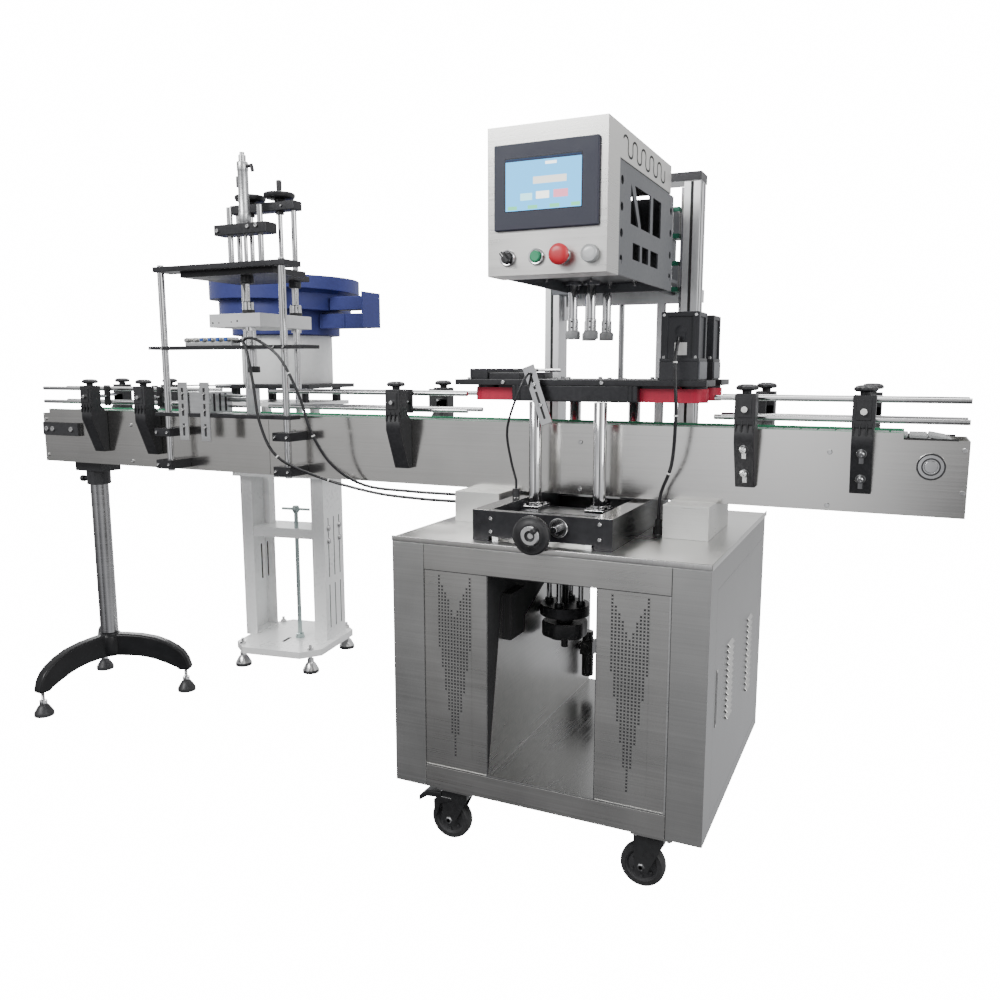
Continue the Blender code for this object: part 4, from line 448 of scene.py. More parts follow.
def perforated(name, x0, x1):
    pitch = (x1 - x0) / HOLE_COLUMNS
    z_top, z_bottom = HOLES_TOP, HOLES_BOTTOM
    rows = round((z_top - z_bottom) / pitch)
    bpy.ops.object.select_all(action="DESELECT")
    bpy.ops.mesh.primitive_grid_add(x_subdivisions=HOLE_COLUMNS, y_subdivisions=rows, size=1.0)
    piece = bpy.context.object
    piece.scale = (x1 - x0, z_top - z_bottom, 1)
    piece.rotation_euler = (math.radians(90), 0, 0)
    piece.location = ((x0 + x1) / 2, -0.3194 - 0.0004, (z_top + z_bottom) / 2)
    bpy.ops.object.transform_apply(location=True, rotation=True, scale=True)
    for face in piece.data.polygons:
        across = abs(face.center.x - (x0 + x1) / 2) / ((x1 - x0) / 2)
        high = POINT_HIGH + (EDGE_HIGH - POINT_HIGH) * across
        low = POINT_LOW + (EDGE_LOW - POINT_LOW) * across
        face.select = low < face.center.z < high
    wanted = [face.select for face in piece.data.polygons]
    bpy.ops.object.mode_set(mode="EDIT")
    bpy.ops.mesh.select_mode(type="FACE")
    bpy.ops.mesh.select_all(action="DESELECT")
    bpy.ops.object.mode_set(mode="OBJECT")
    for face, keep in zip(piece.data.polygons, wanted):
        face.select = keep
    bpy.ops.object.mode_set(mode="EDIT")
    bpy.ops.mesh.inset(thickness=pitch * 0.24, use_individual=True)
    bpy.ops.mesh.bevel(offset=pitch * 0.15, affect="VERTICES", clamp_overlap=True)
    bpy.ops.object.mode_set(mode="OBJECT")
    only(piece)
    holes = [face.select for face in piece.data.polygons]
    settle(piece, name, "machine", [STEEL, PAINTED_SHADE_AND_BLACK])
    # Hole faces take the near-black: painted shade standing in for the dark behind each hole.
    for face, hole in zip(piece.data.polygons, holes):
        if hole:
            face.material_index = 1


perforated("perforated_panel_left", 0.352, 0.438)
perforated("perforated_panel_right", 0.763, 0.848)
settle(joined([block("post", (0.2341, -0.3218, 0.1412), (0.3165, -0.3203, 0.7268), 0.0007),
               block("post", (0.8920, -0.3218, 0.1412), (0.9695, -0.3203, 0.7268), 0.0007)]),
       "corner_post_skins", "machine", [SHADED_POST_STEEL])
settle(joined([block("lip", (0.2335, -0.3238, 0.7282), (0.9712, -0.3203, 0.7408), 0.0016),
               block("lip", (0.9690, -0.3230, 0.7282), (0.9714, 0.4020, 0.7408), 0.0010)]),
       "top_lip", "machine", [POLISHED])
settle(joined([block("rail", (0.3178, -0.3216, 0.6690), (0.8907, -0.3203, 0.7268), 0.0007),
               block("rail", (0.3178, -0.3216, 0.1412), (0.8907, -0.3203, 0.1950), 0.0007)]),
       "front_rail_skins", "machine", [STEEL])
# Thin near-black strips along the edges of posts, rails, panels and bay: painted shade in the gaps between
# them.
settle(joined([block("seam", (x, -0.3208, 0.1420), (x + 0.0011, -0.3205, 0.7268), 0)
               for x in (0.3166, 0.8908)]
              + [block("seam", (0.3178, -0.3208, z), (0.8907, -0.3205, z + 0.0012), 0)
                 for z in (0.6676, 0.1952)]
              + [block("seam", (x, -0.3208, 0.1952), (x + 0.0012, -0.3205, 0.6690), 0)
                 for x in (0.4762, 0.7326)]),
       "front_seams", "machine", [PAINTED_SHADE_AND_BLACK])

# Side door.
# A flat stainless panel in the cabinet's right side, with two groups of pressed louvres and a recessed pull.
# The door takes the darker side copy of the steel: painted shade.
dressed("side_door", [SHADED_SIDE_STEEL], 0.0008)


def outline_plate(plane, points, low, high, width=0.001, segments=2):
    bpy.ops.object.select_all(action="DESELECT")
    order = {"xz": lambda a, b: (a, low, b), "yz": lambda a, b: (low, a, b), "xy": lambda a,
             b: (a, b, low)}[plane]
    reach = {"xz": (0, high - low, 0), "yz": (high - low, 0, 0), "xy": (0, 0, high - low)}[plane]
    mesh = bpy.data.meshes.new("plate")
    mesh.from_pydata([order(a, b) for a, b in points], [], [list(range(len(points)))])
    piece = bpy.data.objects.new("plate", mesh)
    bpy.context.scene.collection.objects.link(piece)
    only(piece)
    bpy.ops.object.mode_set(mode="EDIT")
    bpy.ops.mesh.select_all(action="SELECT")
    bpy.ops.mesh.extrude_region_move(TRANSFORM_OT_translate={"value": reach})
    bpy.ops.mesh.select_all(action="SELECT")
    bpy.ops.mesh.normals_make_consistent(inside=False)
    bpy.ops.object.mode_set(mode="OBJECT")
    return soften(piece, width, segments) if width else piece


LOUVRE_COUNT = 13
louvres, slits = [], []
for y_back, y_front, z_top, z_low in ((-0.058, -0.104, 0.512, 0.345), (0.205, 0.163, 0.500, 0.318)):
    for i in range(LOUVRE_COUNT):
        z = z_low + (z_top - z_low) * i / (LOUVRE_COUNT - 1)
        louvres.append(outline_plate("xz", [(0.9689, z - 0.0034), (0.9752, z - 0.0026), (0.9689, z + 0.0052)],
                                     y_front - 0.004, y_back + 0.004, 0.0003, 1))
        slits.append(block("slit", (0.9690, y_front - 0.003, z - 0.0056),
                           (0.9697, y_back + 0.003, z - 0.0030), 0))
settle(joined(louvres), "door_louvres", "door", [POLISHED])
# Near-black strips under the louvres: painted shade in their openings.
settle(joined(slits), "door_louvre_slits", "door", [PAINTED_SHADE_AND_BLACK])
pull = block("pull_rim", (0.9690, -0.231, 0.368), (0.9706, -0.219, 0.495), 0.0006)
settle(pull, "door_pull_rim", "door", [POLISHED])
# The slot in the pull is a near-black block: painted shade in the recess.
settle(block("pull_slot", (0.9702, -0.228, 0.374), (0.97075, -0.222, 0.489), 0.0002), "door_pull_slot",
       "door",
       [PAINTED_SHADE_AND_BLACK])


# Casters.
# Swivel casters with a black pressed fork, a cast hub and a hard black tread; the front left one has a brake.
BLACK_PAINT = finish("black_enamel", (0.014, 0.014, 0.015), 0.30, vary=0.3, size=(80, 80, 80), bump=0.04,
                     coat=0.3)
TREAD = finish("black_tread", (0.016, 0.016, 0.017), 0.55, vary=0.35, size=(120, 120, 120), bump=0.10)
HUB = finish("grey_hub", (0.030, 0.030, 0.032), 0.45, vary=0.2)
CHROME = finish("polished_shaft", (0.66, 0.66, 0.665), 0.10, 1.0, vary=0.05, size=(6, 6, 160), bump=0.01,
                rough_vary=0.04)


def turned(profile, place, axis="Z", segments=48, angle=35):
    bpy.ops.object.select_all(action="DESELECT")
    mesh = bpy.data.meshes.new("turned")
    mesh.from_pydata([(r, 0.0, h) for r, h in profile], [(i, i + 1) for i in range(len(profile) - 1)], [])
    piece = bpy.data.objects.new("turned", mesh)
    bpy.context.scene.collection.objects.link(piece)
    only(piece)
    spin = piece.modifiers.new("spin", "SCREW")
    spin.steps = segments
    spin.render_steps = segments
    spin.use_merge_vertices = True
    spin.merge_threshold = 0.00005
    bpy.ops.object.modifier_apply(modifier="spin")
    bpy.ops.object.mode_set(mode="EDIT")
    bpy.ops.mesh.select_all(action="SELECT")
    bpy.ops.mesh.remove_doubles(threshold=0.00001)
    bpy.ops.mesh.normals_make_consistent(inside=False)
    bpy.ops.object.mode_set(mode="OBJECT")
    turn = {"Z": Matrix.Identity(4), "Y": Matrix.Rotation(math.radians(90), 4, "X"),
            "X": Matrix.Rotation(math.radians(90), 4, "Y")}[axis]
    piece.data.transform(Matrix.Translation(place) @ turn)
    bpy.ops.object.shade_smooth_by_angle(angle=math.radians(angle))
    return piece


def bar(start, end, radius, segments=32, width=0.0006):
    a, b = Vector(start), Vector(end)
    bpy.ops.object.select_all(action="DESELECT")
    bpy.ops.mesh.primitive_cylinder_add(vertices=segments, radius=radius, depth=(b - a).length,
                                        location=(a + b) / 2)
    piece = bpy.context.object
    piece.rotation_mode = "QUATERNION"
    piece.rotation_quaternion = Vector((0, 0, 1)).rotation_difference(b - a)
    bpy.ops.object.transform_apply(location=True, rotation=True, scale=True)
    return soften(piece, width, 2, 50) if width else piece


def copied(piece, move):
    twin = piece.copy()
    twin.data = piece.data.copy()
    twin.data.transform(Matrix.Translation(move))
    bpy.context.scene.collection.objects.link(twin)
    return twin


CASTER_TRAIL = 0.027
WHEEL_RADIUS = 0.05
SPOKES = 6
casters = {"front_left": (0.389, -0.275), "front_right": (0.862, -0.275),
           "rear_left": (0.389, 0.335), "rear_right": (0.862, 0.335)}
for label, (x, y) in casters.items():
    spot = (x - CASTER_TRAIL, y, WHEEL_RADIUS)
    tyre = turned([(0.037, 0.0155), (0.0455, 0.015), (0.0485, 0.011), (0.050, 0.006), (0.050, -0.006),
                   (0.0485, -0.011), (0.0455, -0.015), (0.037, -0.0155), (0.037, 0.0155)], spot, "Y", 56)
    settle(tyre, "caster_tread_" + label, "caster_" + label, [TREAD],
           ("caster_wheel_" + label,))
    core = [turned([(0.0065, 0.015), (0.013, 0.015), (0.0165, 0.010), (0.031, 0.008), (0.0345, 0.013),
                    (0.0375, 0.0135),
                    (0.0375, -0.0135), (0.0345, -0.013), (0.031, -0.008), (0.0165, -0.010), (0.013, -0.015),
                    (0.0065, -0.015), (0.0065, 0.015)], spot, "Y", 40)]
    for i in range(SPOKES):
        a = 2 * math.pi * i / SPOKES
        c, d = math.cos(a), math.sin(a)
        core.append(bar((spot[0] + 0.012 * c, y, spot[2] + 0.012 * d),
                        (spot[0] + 0.036 * c, y, spot[2] + 0.036 * d),
                        0.0042, 8, 0.0005))
        pin_x, pin_z = spot[0] + 0.024 * math.cos(a + 0.5), spot[2] + 0.024 * math.sin(a + 0.5)
        core.append(bar((pin_x, y - 0.0135, pin_z), (pin_x, y + 0.0135, pin_z), 0.003, 8, 0))
    settle(joined(core), "caster_hub_" + label, "caster_" + label, [HUB])
    fork = "fork_" + label
    dressed("caster_" + fork, [BLACK_PAINT], 0.0016, (), 40)
    nuts = [turned([(0.0, 0.0235), (0.004, 0.0235), (0.0085, 0.022), (0.0095, 0.0195), (0.0095, 0.018),
                    (0.0, 0.018)],
                   spot, "Y", 6, 30)]
    nuts.append(copied(nuts[0], (0, 0.0415, 0)))
    nuts.append(turned([(0.0255, 0.1372), (0.030, 0.1372), (0.0325, 0.1345), (0.0325, 0.1315), (0.028, 0.130),
                        (0.0255, 0.1372)], (x, y, 0), "Z", 40))
    settle(joined(nuts), "caster_axle_nuts_" + label, fork, [CHROME])
    bolts = [turned([(0.0, 0.1325), (0.0045, 0.1325), (0.006, 0.134), (0.006, 0.1368), (0.0, 0.1368)],
                    (x + dx, y + dy, 0), "Z", 6, 30) for dx in (-0.037, 0.037) for dy in (-0.037, 0.037)]
    settle(joined(bolts), "caster_plate_bolts_" + label, "machine", [CHROME])

dressed("brake_pedal", [BLACK_PAINT], 0.003)
cover = outline_plate("xz", [(0.3235, 0.052), (0.3285, 0.052), (0.340, 0.088), (0.372, 0.101), (0.372, 0.109),
                             (0.336, 0.109), (0.322, 0.096)], -0.2985, -0.2515, 0.003, 3)
settle(cover, "brake_cover", "fork_front_left", [BLACK_PAINT])


# Conveyor.
# A channel of 2 mm stainless sheet with its flanges screwed from the side, polished enough to mirror what
# stands before it, and two green polyethylene wear strips clipped to its upper edges.
MIRROR_STEEL = finish("mirror_stainless", (0.60, 0.59, 0.57), 0.17, 1.0, vary=0.06, size=(2, 2, 520),
                      bump=0.003,
                      rough_vary=0.05)
GREEN_STRIP = finish("green_polyethylene", (0.035, 0.27, 0.13), 0.38, vary=0.12, size=(8, 60, 60), bump=0.03)
PALE_SHEET = finish("pale_sheet", (0.62, 0.62, 0.60), 0.34, 0.55, vary=0.05, size=(3, 3, 300), bump=0.02)
BLACK_NYLON = finish("black_nylon", (0.018, 0.018, 0.020), 0.42, vary=0.3, size=(140, 140, 140), bump=0.09)
SCREW_STEEL = finish("screw_steel", (0.60, 0.60, 0.60), 0.22, 1.0, vary=0.08)
dressed("conveyor_frame", [MIRROR_STEEL, GREEN_STRIP, PALE_SHEET, BLACK_NYLON, CHROME],
        0.0007,
        [(1, (-1.31, -0.001, 0.9752), (1.296, 0.0125, 0.99)),
         (1, (-1.31, 0.1375, 0.9752), (1.296, 0.151, 0.99)),
         (2, (0.26, -0.08, 0.73), (0.92, 0.17, 0.8155)), (3, (-1.33, -0.013, 0.90), (-1.15, -0.0005, 0.946)),
         (4, (-1.33, 0.012, 0.84), (-1.19, 0.138, 0.99)), (4, (1.315, -0.006, 0.88), (1.385, -0.0004, 0.96)),
         (4, (1.315, 0.1504, 0.88), (1.385, 0.156, 0.96))], 30)


def cap_screw(x, z, y, radius=0.0052, out=-1):
    head = turned([(0.0, 0.0034), (0.0026, 0.0034), (0.0026, 0.0048), (radius - 0.0008, 0.0048),
                   (radius, 0.0038),
                   (radius, 0.0), (0.0, 0.0)], (0, 0, 0), "Y", 20, 30)
    if out > 0:
        head.data.transform(Matrix.Rotation(math.pi, 4, "Z"))
    head.data.transform(Matrix.Translation((x, y, z)))
    return head


side_screws = [(1.410, 0.956), (1.412, 0.868), (1.151, 0.943), (1.151, 0.826), (0.578, 0.944), (0.578, 0.828),
               (-0.290, 0.944), (-0.290, 0.830), (-0.930, 0.944), (-0.930, 0.830), (-1.318, 0.955),
               (-1.318, 0.835)]
settle(joined([cap_screw(x, z, 0.0002) for x,
               z in side_screws] + [cap_screw(x, z, 0.1498, out=1) for x, z in side_screws]),
       "conveyor_side_screws", "machine", [SCREW_STEEL])
rings = []
for y, out in ((-0.0052, -1), (0.1552, 1)):
    for r0, r1, rise in ((0.0245, 0.0278, 0.0012), (0.0155, 0.0185, 0.0010)):
        ring = turned([(r0, 0.0), (r0, rise), (r1, rise), (r1, 0.0), (r0, 0.0)], (0, 0, 0), "Y", 48, 30)
        if out > 0:
            ring.data.transform(Matrix.Rotation(math.pi, 4, "Z"))
        ring.data.transform(Matrix.Translation((1.350, y, 0.920)))
        rings.append(ring)
settle(joined(rings), "bearing_retaining_rings", "machine", [BLACK_NYLON])
# Near-black strips along the take-up slots and the sheet joint: painted shade in the gaps.
slot_marks = [block("slot", (1.297, y, 0.9745), (1.398, y + 0.0012, 0.9785), 0.0003)
              for y in (-0.0008, 0.1498)]
slot_marks.append(block("joint", (-0.3802, -0.0005, 0.815), (-0.3794, 0.0002, 0.974), 0.0001, 1))
settle(joined(slot_marks), "conveyor_slots", "machine", [PAINTED_SHADE_AND_BLACK])
tension_bits = [cap_screw(x, 0.9235, -0.0121, 0.0085) for x in (-1.300, -1.272, -1.185)]
settle(joined(tension_bits), "tension_block_screws", "machine", [SCREW_STEEL])


# Slat chain.
# Grey acetal slats, 38 mm apart, hinged on steel pins; each slat has a rounded front and a relief below.
CHAIN_GREY = finish("grey_acetal", (0.30, 0.31, 0.31), 0.45, vary=0.12, size=(40, 40, 40), bump=0.05,
                    speck=((0.18, 0.18, 0.18), 260))
slat = outline_plate("xz", [(-0.0184, -0.0062), (-0.0170, 0.0), (0.0165, 0.0), (0.0186, -0.0025),
                            (0.0150, -0.0070)],
                     0.0126, 0.1374, 0.0008, 1)
SLAT_COUNT = 148
IDLER_X, DRIVE_X = -1.262, 1.350
WHEEL_Z = 0.920
WRAP = 0.064
run = DRIVE_X - IDLER_X
around = math.pi * WRAP
loop = 2 * (run + around)
slats = []
for i in range(SLAT_COUNT):
    s = loop * i / SLAT_COUNT
    if s < run:
        x, z, a = IDLER_X + s, WHEEL_Z + WRAP, 0.0
    elif s < run + around:
        a = (s - run) / WRAP
        x, z = DRIVE_X + WRAP * math.sin(a), WHEEL_Z + WRAP * math.cos(a)
    elif s < 2 * run + around:
        x, z, a = DRIVE_X - (s - run - around), WHEEL_Z - WRAP, math.pi
    else:
        a = math.pi + (s - 2 * run - around) / WRAP
        x, z = IDLER_X + WRAP * math.sin(a), WHEEL_Z + WRAP * math.cos(a)
    spot = Matrix.Translation((x, 0, z)) @ Matrix.Rotation(a, 4, "Y")
    twin = copied(slat, (0, 0, 0))
    twin.data.transform(spot)
    slats.append(twin)
bpy.data.objects.remove(slat)
settle(joined(slats), "slat_chain", "machine", [CHAIN_GREY], ("conveyor_chain",))
dressed("drive_shaft", [CHROME], 0.0006, (), 50)


# Guide rails.
# Two 12 mm stainless rods on each side, held by moulded black nylon brackets with a lobed clamping knob on
# top; the right brackets' feet each have two slots with a washer and a bolt.
ROD_STEEL = finish("ground_rod", (0.63, 0.63, 0.63), 0.16, 1.0, vary=0.08, size=(160, 6, 6), bump=0.01,
                   rough_vary=0.05)
WHITE_PLUG = finish("white_plug", (0.80, 0.80, 0.78), 0.45, vary=0.04)


def lobed_knob(place, radius, height):
    knob = turned([(0.0, height), (radius * 0.45, height), (radius * 0.80, height * 0.92),
                   (radius, height * 0.72),
                   (radius, height * 0.52), (radius * 0.84, height * 0.40), (radius * 0.48, height * 0.34),
                   (radius * 0.44, 0.0), (0.0, 0.0)], (0, 0, 0), "Z", 42)
    for point in knob.data.vertices:
        r = math.hypot(point.co.x, point.co.y)
        if r > radius * 0.6:
            grow = 1.0 + 0.10 * math.cos(7 * math.atan2(point.co.y, point.co.x))
            point.co.x *= grow
            point.co.y *= grow
    knob.data.transform(Matrix.Translation(place))
    return knob


def bracket_black():
    parts = [outline_plate("yz", [(-0.0003, 0.858), (-0.0003, 0.983), (-0.022, 1.005), (-0.022, 1.036),
                                  (-0.049, 1.036),
                                  (-0.062, 0.985), (-0.062, 0.962), (-0.020, 0.858)], -0.0215, 0.0215,
                                  0.0015),
             outline_plate("yz", [(-0.022, 1.010), (-0.022, 1.068), (-0.062, 1.068), (-0.062, 1.000)],
                           -0.0225, 0.0225, 0.0018)]
    for x in (-0.019, -0.0065, 0.0065, 0.019):
        parts.append(block("rib", (x - 0.0016, -0.0645, 0.985), (x + 0.0016, -0.060, 1.010), 0.0006, 1))
    parts.append(block("cheek", (-0.0145, -0.0640, 1.016), (0.0145, -0.058, 1.060), 0.0012))
    parts.append(block("saddle", (-0.010, 0.018, 1.003), (0.010, 0.0275, 1.066), 0.001))
    parts.append(lobed_knob((0, -0.042, 1.067), 0.0225, 0.0216))
    return joined(parts)


FOOT_SLOTS = (0.024, 0.084)
ROD_HEIGHTS = (1.012, 1.056)
lean = math.atan2(0.042, 0.104)
foot_turn = Matrix.Translation((0, -0.0200, 0.858)) @ Matrix.Rotation(lean, 4, "X")


def bracket_steel(heights):
    parts = [bar((0, -0.0715, 1.034), (0, 0.024, 1.034), 0.0055, 20)]
    for up in heights:
        slot_bed = block("slot", (-0.0048, -0.0008, up - 0.012), (0.0048, 0.0006, up + 0.014), 0.0003)
        washer = turned([(0.0, 0.0024), (0.0085, 0.0024), (0.0105, 0.0016), (0.0105, 0.0004), (0.0, 0.0004)],
                        (0, 0, 0), "Y", 28, 30)
        head = turned([(0.0, 0.0060), (0.003, 0.0060), (0.003, 0.0078), (0.0052, 0.0078), (0.0060, 0.0068),
                       (0.0060, 0.002), (0.0, 0.002)], (0, 0, 0), "Y", 20, 30)
        for piece in (washer, head):
            piece.data.transform(Matrix.Translation((0, 0, up + 0.012)))
        for piece in (slot_bed, washer, head):
            only(piece)
            bpy.ops.object.transform_apply(location=True, rotation=True, scale=True)
            piece.data.transform(foot_turn)
            parts.append(piece)
    return joined(parts)


def mirror_back(piece):
    only(piece)
    bpy.ops.object.transform_apply(location=True, rotation=True, scale=True)
    piece.data.transform(Matrix.Translation((0, 0.150, 0)) @ Matrix.Scale(-1, 4, (0, 1, 0)))
    piece.data.flip_normals()
    return piece


black_master = bracket_black()
steel_master = bracket_steel(FOOT_SLOTS)
plain_master = bracket_steel(())
plug_master = turned([(0.0, 0.0022), (0.0058, 0.0022), (0.0068, 0.0010), (0.0068, 0.0), (0.0, 0.0)],
                     (0, -0.0712, 1.034), "Y", 24)
rail_sets = (("left", (-1.354, -0.660), (-1.050, -0.820), (-1.170, -0.950)),
             ("middle", (-0.400, 0.253), (0.080,), (0.094,)),
             ("right", (0.8935, 1.4185), (0.977, 1.217), (0.985, 1.222)))
for label, (x0, x1), fronts, rears in rail_sets:
    for side, spots in (("front", fronts), ("rear", rears)):
        blacks = [copied(black_master, (x, 0, 0)) for x in spots]
        steels = [copied(steel_master if label == "right" else plain_master, (x, 0, 0)) for x in spots]
        steels += [bar((x0, 0.030, z), (x1, 0.030, z), 0.006, 28) for z in ROD_HEIGHTS]
        plugs = [copied(plug_master, (x, 0, 0)) for x in spots] if label == "right" else []
        made = [joined(blacks), joined(steels)] + ([joined(plugs)] if plugs else [])
        if side == "rear":
            made = [mirror_back(piece) for piece in made]
        name = "rail_" + label + "_" + side
        settle(made[0], name + "_brackets", "machine", [BLACK_NYLON], (name,))
        settle(made[1], name + "_rods", "machine", [ROD_STEEL])
        if plugs:
            settle(made[2], name + "_plugs", "machine", [WHITE_PLUG])
for master in (black_master, steel_master, plain_master, plug_master):
    bpy.data.objects.remove(master)


# Conveyor leg.
# A stainless tube clamped under the channel, on a cast tripod of arched arms, enamelled black, with
# levelling feet on threaded studs.
LEG_PLACE = (-1.1765, 0.075, 0)
FOOT_REACH = 0.258
STUD_THREADS = 11
LEG_STEEL = finish("leg_tube_stainless", (0.34, 0.34, 0.345), 0.24, 1.0, vary=0.08, size=(3, 3, 260),
                   bump=0.006)
dressed("leg_pole", [LEG_STEEL, BLACK_NYLON], 0.0012,
        [(1, (-1.4, -0.1, 0.7), (-1.0, 0.2, 0.815))], 30)
knob = [bar((-1.2145, 0.060, 0.752), (-1.226, 0.060, 0.752), 0.0050, 20),
        bar((-1.225, 0.060, 0.752), (-1.240, 0.060, 0.752), 0.0110, 24, 0.002)]
settle(joined(knob), "leg_clamp_knob", "machine", [BLACK_NYLON])
arch = [(0.000, 0.211), (0.060, 0.2095), (0.112, 0.2055), (0.164, 0.1955), (0.204, 0.1795), (0.237, 0.1595),
        (0.257, 0.141),
        (0.270, 0.119), (0.278, 0.092), (0.278, 0.0785), (0.238, 0.0785), (0.231, 0.0868), (0.204, 0.0995),
        (0.164, 0.1155),
        (0.132, 0.1240), (0.099, 0.1293), (0.046, 0.1313), (0.000, 0.1313)]
tripod = [turned([(0.0, 0.2148), (0.026, 0.2148), (0.034, 0.210), (0.040, 0.200), (0.0415, 0.150),
                  (0.036, 0.134),
                  (0.022, 0.130), (0.0, 0.130)], LEG_PLACE)]
pads, studs = [], []
for i in range(3):
    angle = math.radians(-95 + 120 * i)
    arm = outline_plate("xz", arch, -0.0195, 0.0195, 0.0090, 5)
    arm.data.transform(Matrix.Translation(LEG_PLACE) @ Matrix.Rotation(angle, 4, "Z"))
    tripod.append(arm)
    place = (LEG_PLACE[0] + FOOT_REACH * math.cos(angle), LEG_PLACE[1] + FOOT_REACH * math.sin(angle), 0)
    pads.append(turned([(0.0, 0.0385), (0.010, 0.0385), (0.013, 0.0370), (0.019, 0.0300), (0.026, 0.0180),
                        (0.0292, 0.0125),
                        (0.0300, 0.010), (0.0300, 0.001), (0.029, 0.0), (0.0, 0.0)], place))
    stud = [(0.0, 0.080)]
    for k in range(STUD_THREADS):
        stud += [(0.0058, 0.078 - 0.0024 * k), (0.0048, 0.0768 - 0.0024 * k)]
    stud += [(0.0115, 0.0515), (0.0120, 0.0500), (0.0120, 0.0400), (0.0110, 0.0385), (0.0, 0.0385)]
    studs.append(turned(stud, place, "Z", 20))
ENAMEL = finish("black_gloss_enamel", (0.006, 0.006, 0.007), 0.34, vary=0.3, size=(30, 30, 30), bump=0.03,
                rough_vary=0.06,
                shine=0.3)
settle(joined(tripod), "tripod_casting", "machine", [ENAMEL], ("leg_base",))
settle(joined(pads), "tripod_pads", "machine", [BLACK_NYLON])
settle(joined(studs), "tripod_studs", "machine", [CHROME])


# Slide base.
# Black anodised side plates under polished cover strips carry two linear guides; a plate across the front
# holds the spread screw's handwheel and the jack's cranked stub in its bearing ring.
ANODISED = finish("black_anodising", (0.022, 0.022, 0.025), 0.36, metallic=0.35, vary=0.25, size=(90, 90, 90),
                  bump=0.03)
DARK_SHEET = finish("dark_polished_sheet", (0.105, 0.105, 0.11), 0.22, 1.0, vary=0.10, size=(3, 3, 260),
                    bump=0.006)
left_strip = (1, (0.41, -0.276, 0.8075), (0.461, 0.3, 0.8085))
right_strip = (1, (0.7078, -0.276, 0.8075), (0.751, 0.3, 0.8085))
right_face = (4, (0.7497, -0.276, 0.73), (0.751, 0.3, 0.8074))
left_guide = (2, (0.465, -0.272, 0.737), (0.485, 0.31, 0.7525))
right_guide = (2, (0.684, -0.272, 0.737), (0.7035, 0.31, 0.7525))
jack_stub = (2, (0.60, -0.32, 0.755), (0.655, -0.2752, 0.81))
sensor_gland = (3, (0.425, -0.082, 0.8085), (0.449, -0.058, 0.84))
dressed("base_box", [ANODISED, POLISHED, CHROME, BLACK_NYLON, DARK_SHEET], 0.0008,
        [left_strip, right_strip, right_face, left_guide, right_guide, jack_stub, sensor_gland], 40)
STUB_PLACE = (0.630, -0.275, 0.781)
ring = turned([(0.0155, 0.0062), (0.0155, 0.0085), (0.0205, 0.0085), (0.0215, 0.0075), (0.0215, 0.0055),
               (0.0155, 0.0062)],
              STUB_PLACE, "Y", 48, 30)
bits = [ring] + [turned([(0.0, 0.0366), (0.0022, 0.0366), (0.0022, 0.0350), (0.0066, 0.0350), (0.0072, 0.034),
                         (0.0072, 0.010), (0.0, 0.010)], STUB_PLACE, "Y", 28, 30)]
bits += [cap_screw(x, z, -0.2750, 0.0042) for x,
         z in ((0.466, 0.790), (0.466, 0.760), (0.722, 0.795), (0.722, 0.762))]
bits += [cap_screw(STUB_PLACE[0] + 0.0178 * math.cos(a), STUB_PLACE[2] + 0.0178 * math.sin(a), -0.2812,
                   0.0024)
         for a in (0.4, 1.97, 3.54, 5.11)]
settle(joined(bits), "slide_base_fasteners", "machine", [SCREW_STEEL])

SPREAD_PLACE = (0.594, -0.350, 0.7735)
wheel = turned([(0.0, 0.0008), (0.014, 0.0008), (0.0215, 0.0025), (0.0235, 0.0050), (0.0300, 0.0040),
                (0.0345, 0.0020),
                (0.0385, 0.0020), (0.0420, -0.0005), (0.0427, -0.0050), (0.0410, -0.0105), (0.0375, -0.0128),
                (0.0320, -0.0115), (0.0210, -0.0120), (0.0135, -0.0200), (0.0130, -0.0700), (0.0, -0.0700)],
               SPREAD_PLACE, "Y", 64)
screw = turned([(0.0, -0.066), (0.0060, -0.066), (0.0060, -0.620), (0.0, -0.620)], SPREAD_PLACE, "Y", 24)
settle(joined([wheel, screw]), "spread_handwheel_rim", "spread_handwheel", [BLACK_PAINT],
       ("base_handwheel",))
hub = [turned([(0.0120, 0.0052), (0.0120, 0.0066), (0.0190, 0.0066), (0.0215, 0.0050), (0.0215, 0.0020),
               (0.0120, 0.0020),
               (0.0120, 0.0052)], SPREAD_PLACE, "Y", 48, 30),
       turned([(0.0, 0.0030), (0.0060, 0.0030), (0.0070, 0.0018), (0.0070, 0.0), (0.0, 0.0)],
              SPREAD_PLACE, "Y", 24, 30)]
settle(joined(hub), "spread_handwheel_hub", "spread_handwheel", [CHROME])
grip = turned([(0.0, 0.0262), (0.0040, 0.0262), (0.0062, 0.0235), (0.0068, 0.0180), (0.0050, 0.0075),
               (0.0042, 0.0),
               (0.0, 0.0)], (0.608, -0.350, 0.7875), "Y", 32)
settle(grip, "spread_handwheel_grip", "spread_handwheel", [BLACK_NYLON])


# Gripping belt units.
# On each side a black beam rides the guides and carries two chromed posts; they hold a black plate with the
# belt's bed below it and the motor with its gear head on top. The belts are red, fluted rubber.
POST_XS = (0.4855, 0.6495)
POST_Y = -0.065


